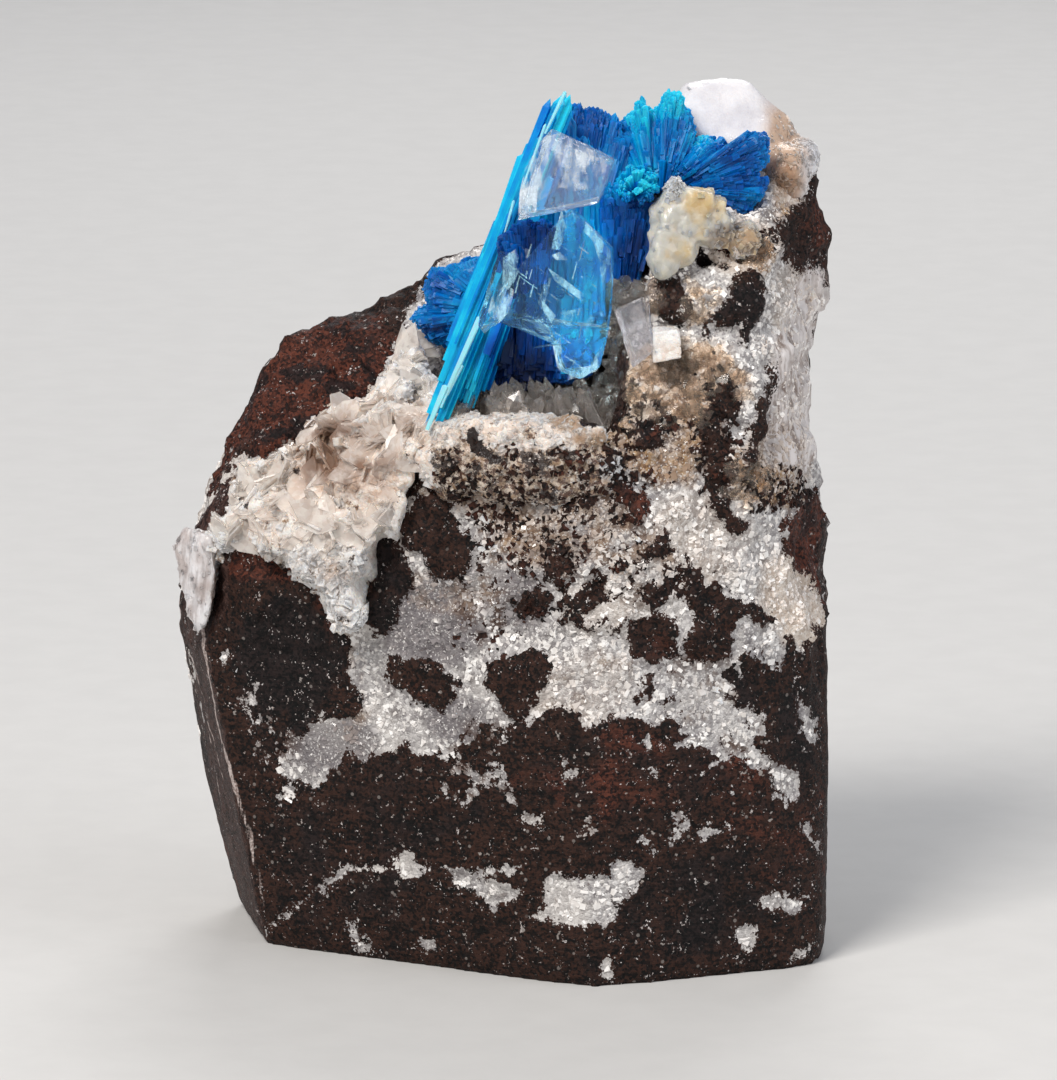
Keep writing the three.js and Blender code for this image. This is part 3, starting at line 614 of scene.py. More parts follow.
# ---------------------------------------------------------------- finishes
def rock_finish():
    material, tree = new_material("basalt_breccia")
    place = object_place(tree)
    basalt_depth = stain(tree, "basalt")
    sawn = stain(tree, "sawn")
    # ragged contact between basalt and cement
    ragged = grains(place, 0.62, 4.0, 0.68) - 0.5
    frayed = grains(place, 0.13, 2.0, 0.6) - 0.5
    crumbs = grains(place, 0.85, 4.0, 0.68) - 0.47
    crumbs = crumbs * (stain(tree, "crumbled") * 9.0)
    level = basalt_depth + ragged * 1.9 + frayed * 0.42 + crumbs
    in_basalt = level.step(-0.03, 0.03)
    # basalt: black-blue and brown grains
    _, grain_chance = cells(place, 1 / 0.13)
    speck = grains(place, 0.1, 2.0, 0.7)
    broad = grains(place, 2.2, 3.0, 0.62)
    fine_mix = grain_chance[0] * 0.55 + speck * 0.6
    saw_place = object_place(tree, (0.13, 0.13, 1.0), (0.0, math.radians(-7), 0.0))
    saw_lines = grains(saw_place, 1 / 5.5, 4.0, 0.7)
    saw_mask = (saw_lines - 0.5) * sawn
    mottled = grains(place, 0.75, 3.0, 0.6) - 0.5
    tone = fine_mix + saw_mask * 0.9 + mottled * 0.7
    browned = mix(tone.step(0.3, 0.88), rgb(7, 5, 5), rgb(60, 38, 30))
    blued = mix(tone.step(0.3, 0.9), rgb(4, 4, 5), rgb(31, 28, 30))
    rusty = mix(tone.step(0.28, 0.85), rgb(28, 14, 11), rgb(104, 56, 42))
    # black basalt, and painted shade on the slit under the yellow calcite
    black_and_slit_shade_mask = stain(tree, "black_and_slit_shade") + (broad - 0.5) * 2.6
    rust_mask = stain(tree, "rust") + (0.5 - broad) * 2.2
    basalt = mix(black_and_slit_shade_mask.step(0.1, 0.8, 0.0, 0.75), browned, blued)
    basalt = mix(rust_mask.step(0.3, 0.95, 0.0, 0.9), basalt, rusty)
    patch = grains(place, 1.5, 4.0, 0.64).step(0.53, 0.58)
    basalt = mix(patch * (stain(tree, "rust") * 0.85), basalt, blued)
    rim = level.step(0.22, 0.04) * broad.step(0.42, 0.6)
    basalt = mix(rim * 0.55, basalt, rgb(62, 34, 24))
    # white flecks in the basalt
    fleck = grains(place, 0.42, 3.0, 0.62) + grains(place, 3.4, 2.0, 0.5) * 0.16
    fleck = fleck.step(0.755, 0.785)
    tiny_far, tiny_chance = cells(place, 1 / 0.36)
    tiny = tiny_chance[1].step(0.9, 0.94) * tiny_far.step(0.3, 0.2)
    flecks = fleck.maximum(tiny * 0.55)
    basalt = mix(flecks * 0.85, basalt, rgb(164, 156, 150))
    # cement
    shade, sparkle, height = sugar(place, 0.2)
    cloudy = grains(place, 1.3, 4.0, 0.62)
    broad_cloud = grains(place, 4.5, 2.0, 0.5)
    cement = mix(shade.step(0.2, 0.85), rgb(146, 141, 141), rgb(216, 212, 209))
    cement = mix(cloudy.step(0.48, 0.7, 0.0, 0.75), cement, rgb(116, 109, 107))
    cement = mix(broad_cloud.step(0.52, 0.66, 0.0, 0.5), cement, rgb(222, 216, 210))
    warm = mix(shade.step(0.2, 0.85), rgb(196, 176, 158), rgb(236, 224, 211))
    cream = stain(tree, "cream") + (broad_cloud - 0.5) * 0.8
    cement = mix(cream.step(-0.15, -0.8, 0.0, 0.75), cement, rgb(104, 98, 101))
    cement = mix(cream.step(0.1, 0.85, 0.0, 0.85), cement, warm)
    soiled = stain(tree, "crumbled") * cloudy.step(0.44, 0.6)
    cement = mix(soiled.part(0.95), cement, rgb(82, 57, 42))
    ochre_edge = stain(tree, "ochre") + (cloudy - 0.5) * 2.2
    dust = grains(place, 0.26, 3.0, 0.65)
    tan_edge = stain(tree, "tan") + (cloudy - 0.5) * 2.0
    tan = mix(shade.step(0.2, 0.85), rgb(112, 88, 72), rgb(190, 168, 148))
    cement = mix(tan_edge.step(0.3, 1.1, 0.0, 0.85), cement, tan)
    ochre_edge = ochre_edge + (dust - 0.5) * 1.6
    ochre = mix(shade.step(0.2, 0.8), rgb(104, 70, 42), rgb(184, 146, 98))
    cement = mix(ochre_edge.step(0.5, 1.3, 0.0, 0.8), cement, ochre)
    cement = mix(dust.step(0.61, 0.7, 0.0, 0.55), cement, rgb(92, 76, 66))
    cement = mix(sparkle * 0.55, cement, rgb(244, 241, 237))
    # light streaks down the left saw cut
    slate = mix(tone.step(0.3, 0.9), rgb(34, 22, 20), rgb(84, 62, 56))
    basalt = mix(stain(tree, "streaked").step(0.05, 0.5, 0.0, 0.8), basalt, slate)
    thread_place = object_place(tree, (1.0, 1.0, 0.07), (math.radians(-4), 0.0, 0.0))
    threads = grains(thread_place, 1 / 3.4, 4.0, 0.62)
    thread_level = stain(tree, "lined") + (threads + frayed * 0.4) * 1.3
    lining = mix(fine_mix.step(0.3, 0.8), rgb(150, 130, 122), rgb(222, 208, 202))
    basalt = mix(thread_level.step(1.12, 1.4, 0.0, 0.85), basalt, lining)
    colour = mix(in_basalt, cement, basalt)
    # a smooth milky vein down the right flank
    vein_place = object_place(tree, (1.0, 1.0, 0.16), (0.0, math.radians(5), 0.0))
    banding = grains(vein_place, 1 / 1.6, 4.0, 0.66)
    milky = mix(banding.step(0.38, 0.6), rgb(140, 124, 115), rgb(222, 214, 211))
    milky = mix(cloudy.step(0.44, 0.6, 0.0, 0.5), milky, rgb(226, 220, 217))
    vein = stain(tree, "milky") + (ragged + frayed) * 2.0
    vein = vein.step(0.44, 0.56)
    colour = mix(vein, colour, milky)
    # gloss and relief
    cement_gloss = 0.52 - sparkle * 0.32
    basalt_gloss = speck.step(0.3, 0.7, 0.48, 0.8)
    gloss = mix(in_basalt, cement_gloss, basalt_gloss)
    gloss = mix(vein, gloss, 0.2)
    pits = fine_mix * 1.1 + grains(place, 0.5, 3.0, 0.6) + saw_mask * 0.9
    bumps = mix(basalt_depth.step(-0.2, 0.2), height, pits)
    bumps = mix(stain(tree, "milky").step(0.3, 0.7), bumps, 0.5)
    normal = relief(bumps, 0.8, 0.12)
    surface(tree, base_color=colour, roughness=gloss, normal=normal, specular_ior_level=0.2)
    return material


def cavansite_finish():
    material, tree = new_material("cavansite_blue")
    place = object_place(tree)
    along = stain(tree, "along")
    lot = stain(tree, "lot")
    mist = grains(place, 1.5, 4.0, 0.55) - 0.5
    strand_place = field(tree, "ShaderNodeCombineXYZ", x=stain(tree, "across") * 9.0, y=lot * 60.0,
                         z=along * 4.0)
    fine = grains(strand_place, 1.0, 3.0, 0.6)
    depth = along + mist * 0.6 + (lot - 0.5) * 0.12 + (fine - 0.5) * 0.3
    ramp = add(tree, "ShaderNodeValToRGB", fac=depth)
    blues = ramp.color_ramp.elements
    blues[0].color, blues[1].color = rgb(0, 20, 62), rgb(36, 206, 244)
    for at, colour in ((0.22, rgb(0, 50, 122)), (0.45, rgb(0, 92, 182)), (0.68, rgb(0, 132, 214)),
                       (0.86, rgb(0, 170, 232))):
        blues.new(at).color = colour
    # the palest laths, with a lot of 1, are painted highlights: glints on the bundle
    colour = mix(lot.step(0.985, 1.0, 0.0, 0.8), Field(ramp.outputs[0]), rgb(168, 228, 240))
    normal = relief(fine, 0.6, 0.03)
    surface(tree, base_color=colour, roughness=0.36, normal=normal, subsurface_weight=0.4,
            subsurface_radius=(0.1, 0.6, 1.0), subsurface_scale=0.7 * MM, specular_ior_level=0.24)
    return material


def stilbite_finish(name, clear, glass=0.0, glow=0.0):
    """White to peach crystals: clear ones are smooth plates and grains, the others a soiled crust."""
    material, tree = new_material(name)
    place = object_place(tree)
    shade, sparkle, height = sugar(place, 0.26)
    cloudy = grains(place, 1.6, 4.0, 0.6)
    white = mix(shade.step(0.2, 0.8), rgb(230, 226, 222), rgb(252, 250, 247))
    peach = mix(shade.step(0.2, 0.8), rgb(230, 208, 191), rgb(250, 240, 231))
    colour = mix(stain(tree, "cream").step(0.1, 0.8, 0.1, 0.6 if clear else 0.95), white, peach)
    brown = cloudy.step(0.4, 0.58, 0.12, 1.0) * stain(tree, "bowl")
    colour = mix(brown * 0.85, colour, rgb(150, 112, 86))
    ochre_edge = stain(tree, "ochre") + (cloudy - 0.5) * 2.4
    colour = mix(ochre_edge.step(0.5, 1.1, 0.0, 0.8), colour, rgb(150, 108, 62))
    colour = mix(stain(tree, "cream").step(-0.1, -0.8, 0.0, 0.85), colour, rgb(112, 104, 106))
    if clear:
        colour = mix(stain(tree, "tan").step(0.2, 0.9, 0.0, 0.6), colour, rgb(156, 128, 104))
    else:
        frayed = grains(place, 0.4, 4.0, 0.65) - 0.5
        clast = stain(tree, "clast") + frayed * 0.8
        crumb = grains(place, 0.95, 5.0, 0.7) - 0.5
        soil_edge = stain(tree, "soiled") + crumb * 4.6
        specks = grains(place, 0.3, 4.0, 0.7)
        soil = mix(shade.step(0.2, 0.8), rgb(150, 118, 88), rgb(226, 208, 190))
        soil = mix(specks.step(0.5, 0.57), soil, rgb(84, 52, 37))
        soil = mix(grains(place, 1.5, 6.0, 0.7).step(0.51, 0.55), soil, rgb(42, 25, 19))
        colour = mix(soil_edge.step(0.4, 0.6, 0.0, 0.95), colour, soil)
        colour = mix(clast.step(0.46, 0.54), colour, rgb(36, 22, 17))
    gloss = 0.36 - sparkle * 0.24
    normal = relief(height, 0.5 if clear else 0.85, 0.03 if clear else 0.1)
    surface(tree, base_color=colour, roughness=0.1 if clear else gloss, normal=normal,
            subsurface_weight=glow, subsurface_radius=(1.0, 0.85, 0.7), subsurface_scale=0.6 * MM,
            transmission_weight=glass, ior=1.4 if glass else 1.5,
            alpha=sheer(tree, 0.7) if glass else 1.0)
    return material


def floor_finish():
    material, tree = new_material("pale_card")
    place = object_place(tree)
    fibre = grains(place, 3.0, 5.0, 0.6)
    colour = mix(fibre.step(0.3, 0.7, 0.0, 1.0), rgb(207, 205, 202), rgb(210, 208, 205))
    surface(tree, base_color=colour, roughness=0.8)
    return material


# ---------------------------------------------------------------- the rock
SAWN_TOP = 14.0
FOOT_RIM = 1.4
ROCK_VOXEL = 0.37
FINE_FRONT = 6
HIDDEN_CLASTS = 260


def hidden_clasts(points, warps):
    """Depth in mm inside the basalt of the sides and the back: angular clasts in cement above,
    dense rock with a few patches of cement below."""
    rng = random.Random(17)
    moved = points + 0.9 * np.column_stack(warps)
    nearest = np.full(len(points), 1e9)
    second = np.full(len(points), 1e9)
    kind = np.zeros(len(points))
    for _ in range(HIDDEN_CLASTS):
        middle = np.array([rng.uniform(-17, 17), rng.uniform(-12, 12), rng.uniform(0, 44)])
        away = np.linalg.norm(moved - middle, axis=1) - rng.uniform(0, 2.2)
        second = np.minimum(second, np.maximum(nearest, away))
        kind = np.where(away < nearest, rng.random(), kind)
        nearest = np.minimum(nearest, away)
    wall = (second - nearest) / 2
    upper = smooth(points[:, 2] + 3 * warps[0], 7, 26)
    seam = 0.42 * upper - 0.4 + 0.5 * smooth(warps[1], -0.2, 0.7) * (0.3 + upper)
    return np.where(kind > 0.03 + 0.25 * upper, wall - seam, -wall)


def breccia():
    bm = evenly_meshed(merged("basalt_matrix"), ROCK_VOXEL)
    smoothed(bm, [p for p in bm.verts if p.co.z < FOOT_RIM], 8, upright=False)
    smoothed(bm, [p for p in bm.verts if p.co.z > SAWN_TOP + 1], 14)
    bm.normal_update()
    facing = [f for f in bm.faces
              if -f.normal.dot(AHEAD) > 0.3 and f.calc_center_median().y < FINE_FRONT]
    edges = list({e for f in facing for e in f.edges})
    bmesh.ops.subdivide_edges(bm, edges=edges, cuts=1, use_grid_fill=True, smooth=0.0)
    bmesh.ops.triangulate(bm, faces=[f for f in bm.faces if len(f.verts) > 4])
    piece = as_object(bm, "basalt_breccia_block")
    mesh = piece.data
    points, u, v, _ = stained(mesh)
    normals = normals_of(mesh)
    warp = grain_field(points, 1.6, 3, 5.0)
    warp_two = grain_field(points, 1.6, 3, 15.0)
    wu, wv = u + 5 * warp, v + 5 * warp_two
    front = np.maximum(within(wu, wv, CONTACT), within(wu, wv, RIDGE))
    for clast in (*CLASTS, SLIT):
        front = np.maximum(front, within(wu, wv, clast))
    for patch in WHITES:
        front = np.minimum(front, -within(wu, wv, patch))
    for path, half in VEINS:
        front = np.minimum(front, to_line(wu, wv, path) - half)
    front += 0.55 * spots(wu, wv, DUSKY)
    back = hidden_clasts(points, (warp, warp_two, grain_field(points, 1.6, 3, 25.0)))
    facing = smooth(to_front(normals), 0.08, 0.4)
    depth = np.clip(front * facing + back * (1 - facing), -0.85, 1.5)
    crumbled = spots(u, v, CRUMBLED) * facing + (1 - facing) * smooth(warp_two, 0.0, 0.6) * 0.6
    rust = spots(u + 8 * warp, v, RUST) * facing + (1 - facing) * smooth(warp, -0.1, 0.7) * 0.9
    black_and_slit_shade = spots(u + 8 * warp, v, BLACK_AND_SLIT_SHADE) * facing + (1 - facing) * smooth(-warp_two, 0.1, 0.7) * 0.8
    height = points[:, 2]
    left_cut = smooth(-normals[:, 0], 0.72, 0.9) * smooth(points[:, 1], 4.0, -1.0)
    give(mesh, "streaked", left_cut)
    # light lines along the edges of the cut, the outer one where its face turns out of sight
    outer = []
    for level in np.arange(1.2, 17.2, 0.8):
        row = np.flatnonzero(np.abs(height - level) < 0.3)
        outer.append(points[row[np.argmin(u[row])]])
    hidden = 1e3 * ~(to_front(normals) > 0.1)
    lined = to_thread(points, outer)
    for path, wider in ((CUT_EDGE, 0.0), *((thread, 0.1) for thread in CUT_THREADS)):
        on_cut = [points[np.argmin(np.hypot(u - a, v - b) + hidden)] for a, b in path]
        lined = np.minimum(lined, to_thread(points, on_cut) + wider)
    give(mesh, "lined", (1 - smooth(lined + 0.1 * warp, 0.02, 0.4)) * (1 - 0.4 * smooth(v, 770, 830)))
    depth = np.maximum(depth, 2.5 * left_cut - 1.2)
    sawn = 1 - smooth(height + 2 * warp, SAWN_TOP - 1.5, SAWN_TOP + 4)
    give(mesh, "basalt", depth)
    give(mesh, "crumbled", np.clip(crumbled, 0, 1))
    flank = smooth(to_front(normals), -0.7, 0.1) * smooth(points[:, 1] + 2 * warp, 3.5, 0.5)
    give(mesh, "milky", np.clip(spots(u + 5 * warp, v + 12 * warp_two, MILKY) * flank, 0, 1))
    give(mesh, "rust", np.clip(rust, 0, 1))
    give(mesh, "black_and_slit_shade", np.clip(black_and_slit_shade, 0, 1))
    give(mesh, "sawn", sawn)
    # relief: clasts stand a little proud, broken rock is lumpy, saw cuts are nearly flat
    lumps = grain_field(points, 1.9, 4, 31.0)
    rough = grain_field(points, 0.45, 2, 47.0)
    rise = (1 - sawn) * (0.44 * lumps + 0.12 * rough + 0.14 * smooth(depth, -0.12, 0.12) - 0.05)
    rise += sawn * (0.03 * lumps + 0.035 * rough + 0.03 * smooth(depth, -0.1, 0.1))
    rise -= 1.1 * smooth(within(u, v, SLIT), -0.1, 0.35) * facing
    rise *= smooth(height, 0.0, 0.5)
    moved = points + normals * rise[:, None]
    moved[:, 2] = np.maximum(moved[:, 2], 0.0)
    put_points(mesh, moved)
    mesh.shade_smooth()
    return piece


# ---------------------------------------------------------------- repeated crystals
def repeated(name, template, places, **values):
    """One mesh (mm) with a copy of the template at each place; values are one number a copy."""
    co = np.array([v.co for v in template.verts])
    faces = [[v.index for v in f.verts] for f in template.faces]
    template.free()
    mats = np.array([[list(row) for row in m] for m in places])
    points = np.einsum("nij,vj->nvi", mats[:, :3, :3], co) + mats[:, None, :3, 3]
    count = len(co)
    mesh = bpy.data.meshes.new(name)
    mesh.from_pydata(points.reshape(-1, 3).tolist(), [],
                     [[i + n * count for i in f] for n in range(len(places)) for f in faces])
    for key, numbers in values.items():
        low, high = np.array(numbers, float).reshape(len(places), -1)[:, [0, -1]].T
        share = {"along": co[:, 2], "across": co[:, 0]}.get(key, np.zeros(count))
        give(mesh, key, (low[:, None] + (high - low)[:, None] * share).ravel())
    piece = bpy.data.objects.new(name, mesh)
    bpy.context.scene.collection.objects.link(piece)
    return piece


def grown(name, template, places, material, slot, *nodes):
    """A finished piece of stained copies."""
    piece = repeated(name, template, places)
    stained(piece.data)
    return finished(piece, material, slot, *nodes)


def placed(root, tip, side, width, thickness):
    """The place of a template that is 1 long along Z and 1 wide along X."""
    along = tip - root
    across = (side - side.project(along)).normalized()
    through = along.normalized().cross(across)
    m = Matrix((across * width, through * thickness, along)).transposed().to_4x4()
    m.translation = root
    return m


def lath_template(sides, root, shoulder):
    """A prism from a narrower root to a pointed tip."""
    bm = bmesh.new()
    bmesh.ops.create_cone(bm, cap_ends=True, segments=sides, radius1=root / 1.42, radius2=1 / 1.42,
                          depth=shoulder, matrix=Matrix.Translation((0, 0, shoulder / 2))
                          @ Matrix.Rotation(math.pi / sides, 4, "Z"))
    top = [f for f in bm.faces if f.normal.z > 0.9]
    bmesh.ops.poke(bm, faces=top, offset=1 - shoulder)
    bmesh.ops.recalc_face_normals(bm, faces=bm.faces)
    bm.verts.index_update()
    return bm


def rhomb_template():
    """A leaning block, 1 long each way."""
    bm = bmesh.new()
    bmesh.ops.create_cube(bm, size=1)
    lean = Matrix.Identity(4)
    lean[0][2], lean[1][2] = 0.25, 0.15
    bmesh.ops.transform(bm, matrix=lean, verts=bm.verts)
    bm.verts.index_update()
    return bm


def blade_template():
    """A thin tabular crystal, 1 long along Z, with a low pointed end."""
    bm = bmesh.new()
    bmesh.ops.create_circle(bm, cap_ends=True, segments=6, radius=0.5,
                            matrix=Matrix.Rotation(math.pi / 2, 4, "X"))
    for v in bm.verts:
        v.co.z += 0.5
        if 0.2 < v.co.z < 0.8:
            v.co.x = math.copysign(0.5, v.co.x)
            v.co.z = 0.62 if v.co.z > 0.5 else 0.1
    made = bmesh.ops.extrude_face_region(bm, geom=bm.faces[:])
    moved = [e for e in made["geom"] if isinstance(e, bmesh.types.BMVert)]
    bmesh.ops.translate(bm, verts=moved, vec=(0, 1, 0))
    bmesh.ops.translate(bm, verts=bm.verts, vec=(0, -0.5, 0))
    bmesh.ops.recalc_face_normals(bm, faces=bm.faces)
    bm.verts.index_update()
    return bm


def any_way(rng):
    while True:
        way = Vector((rng.uniform(-1, 1), rng.uniform(-1, 1), rng.uniform(-1, 1)))
        if 0.1 < way.length < 1:
            return way.normalized()


# ---------------------------------------------------------------- cavansite
# the long bundle: roots and tips of its strands
MAIN_BUNDLE = [
    ((-3.6, -8.0, 27.0), (3.1, -5.9, 43.4)), ((-2.6, -7.0, 29.0), (2.0, -5.5, 41.8)),
    ((-2.6, -6.3, 30.0), (2.0, -4.8, 40.8)), ((-1.9, -7.5, 28.0), (2.7, -5.9, 41.0)),
    ((-2.3, -7.3, 28.6), (2.1, -6.0, 39.4)), ((-1.3, -6.8, 28.4), (3.4, -5.0, 42.8)),
]
# pale laths painted on the bundle as glints of light: lower end, upper end and width
PAINTED_GLINT_LATHS = [
    ((440, 408), (481, 318), 0.3), ((447, 396), (462, 366), 0.2), ((427, 430), (446, 386), 0.3),
    ((545, 140), (566, 98), 0.16), ((520, 200), (546, 130), 0.12), ((500, 255), (514, 205), 0.1),
]
# where the blue is brighter and darker: partly its own tone, partly painted light and painted shade
LIGHTER_BLUE_AND_PAINTED_LIGHT = [
    (640, 108, 30, 14, 1.0), (674, 102, 18, 16, 1.0), (640, 180, 26, 18, 1.0), (612, 186, 18, 14, 0.9),
    (450, 385, 40, 50, 0.8), (520, 180, 26, 70, 0.5), (470, 300, 26, 90, 0.5), (650, 150, 50, 26, 0.35),
    (563, 104, 14, 14, 1.0), (700, 140, 16, 8, 0.5), (580, 300, 60, 90, 0.45), (560, 205, 50, 30, 0.35),
    (580, 345, 32, 34, 0.8),
]
DEEPER_BLUE_AND_PAINTED_SHADE = [
    (516, 360, 40, 50, 0.9), (545, 236, 30, 20, 0.6), (625, 250, 24, 50, 0.45),
    (745, 170, 26, 30, 0.35), (590, 115, 22, 24, 0.4), (622, 140, 14, 20, 0.35),
    (430, 335, 26, 16, 0.4), (500, 290, 12, 40, 0.6), (530, 232, 28, 20, 0.3),
]


def on_line(line, share):
    """The point at a share of the length of a line of points."""
    spans = [math.dist(a, b) for a, b in zip(line, line[1:])]
    rest = share * sum(spans)
    for a, b, span in zip(line, line[1:], spans):
        if rest <= span:
            return [p + (q - p) * rest / span for p, q in zip(a, b)]
        rest -= span
    return list(line[-1])


def fan(laths, rng, roots, rim, depth, half, count, width, tone, ribs=9):
    """Laths that spread from a line of roots to a rim of tips; both are given as seen from the
    front, depth holds the y of the roots and of the rim, and half is half the thickness."""
    ribbed = [(rng.uniform(0.9, 1.03), rng.uniform(-0.09, 0.09), rng.uniform(-0.25, 0.25))
              for _ in range(ribs)]
    for _ in range(count):
        share, layer = rng.random(), rng.uniform(-1, 1)
        length, shift, sway = ribbed[min(ribs - 1, int(share * ribs))]
        root_u, root_v = on_line(roots, share)
        tip_u, tip_v = on_line(rim, share)
        reach = math.sqrt(1 - 0.6 * layer * layer) * length
        low = rng.uniform(0, 0.55)
        high = rng.uniform(0.93, 1.0) if rng.random() < 0.6 else min(1, low + rng.uniform(0.3, 0.6))
        ends = []
        for along in (low, high):
            y = depth[0] + (depth[1] - depth[0]) * along
            y += layer * half * (0.6 + 1.2 * along * (1 - along))
            ends.append(from_front(root_u + (tip_u - root_u) * reach * along,
                                   root_v + (tip_v - root_v) * reach * along, y + sway * along))
        start, end = ends
        if (end - start).length < 0.3:
            continue
        across = (end - start).cross(Vector((0, 1, 0))).normalized()
        side = across + Vector((0, 1, 0)) * rng.uniform(-0.8, 0.8)
        w = width * rng.choice((0.6, 0.8, 1.0, 1.5, 2.1))
        laths.append((placed(start, end, side, w, min(w * 0.6, 0.2)),
                      tone[0] + (tone[1] - tone[0]) * low + shift,
                      tone[0] + (tone[1] - tone[0]) * high + shift, rng.random() * 0.984, w))


def ball(laths, rng, centre, radius, root, bundles, spread, width, tone):
    """Bundles of fine laths that spread from a root to the skin of a ball."""
    root = Vector(root)
    golden = math.pi * (3 - math.sqrt(5))
    for k in range(bundles):
        up = 1 - 2 * (k + 0.5) / bundles
        level = math.sqrt(1 - up * up) * radius
        turn = k * golden + rng.uniform(-0.2, 0.2)
        skin = Vector(centre) + Vector((level * math.cos(turn), level * math.sin(turn), up * radius))
        axis = (skin - root) * rng.uniform(0.95, 1.03)
        if axis.length < 0.6 or axis.z < -1.0:
            continue
        ahead = axis.normalized()
        side = any_way(rng).cross(ahead).normalized()
        other = ahead.cross(side)
        slant = ahead + any_way(rng) * 0.5
        shift = rng.uniform(-0.12, 0.12)
        reach = spread * rng.uniform(0.75, 1.2)
        rows = max(2, round(2 * reach / width))
        for row, column in itertools.product(range(rows), repeat=2):
            a, b = ((place + rng.uniform(0.2, 0.8)) / rows * 2 - 1 for place in (row, column))
            if a * a + b * b > 1.1:
                continue
            drift = (side * a + other * b * 0.7) * reach
            fall = -drift.dot(slant) / slant.dot(ahead) + rng.uniform(-0.1, 0.08)
            tip = root + ahead * (axis.length + max(-0.9, min(0.35, fall))) + drift
            start = root + drift * 0.2 + ahead * 0.15 * axis.length
            w = width * rng.uniform(0.85, 1.5)
            laths.append((placed(start, tip, side + other * rng.uniform(-0.3, 0.3), w,
                                 w * rng.uniform(0.6, 0.9)),
                          tone[0] + shift, tone[1] + shift + rng.uniform(-0.06, 0.06), rng.random(), w))


def cavansite_mass(name, laths, hearts, blue):
    """The laths of one spray and the dense heart that they spread from; hearts are eggs with a
    middle, radii and a lean."""
    places = [lath[0] for lath in laths]
    piece = repeated(name + "_laths", lath_template(4, 0.6, 0.965), places,
                     along=[lath[1:3] for lath in laths], lot=[lath[3] for lath in laths],
                     across=[(-lath[4], lath[4]) for lath in laths])
    bm = bmesh.new()
    for centre, radii, lean in hearts:
        form = Matrix.Diagonal((*(r * 0.5 for r in radii), 1))
        shear = Matrix.Identity(4)
        shear[0][2] = lean
        bmesh.ops.create_icosphere(bm, subdivisions=4, radius=1,
                                   matrix=Matrix.Translation(centre) @ shear @ form)
    bm.normal_update()
    for v in bm.verts:
        v.co += v.normal * 0.2 * noise.noise(v.co / 0.5)
    heart = as_object(bm, name + "_heart")
    points = points_of(heart.data)
    give(heart.data, "along", 0.3 + 0.2 * grain_field(points, 0.8, 2, 2.0))
    give(heart.data, "lot", np.full(len(points), 0.1))
    give(heart.data, "across", points[:, 0])
    for made in (piece, heart):
        mesh = made.data
        points = points_of(mesh)
        u, v = front_view(points)
        tone = values_of(mesh, "along")
        # the blue's own tone, with painted light on the lit laths and painted shade under the calcite
        blue_tone_and_painted_light = 0.42 * spots(u, v, LIGHTER_BLUE_AND_PAINTED_LIGHT) - 0.42 * spots(u, v, DEEPER_BLUE_AND_PAINTED_SHADE)
        tone += blue_tone_and_painted_light * smooth(-points[:, 1], -1.0, 1.0)
        mesh.attributes["along"].data.foreach_set("value", np.clip(tone, 0, 1))
    finished(piece, blue, "cavansite", name)
    finished(heart, blue, "cavansite")


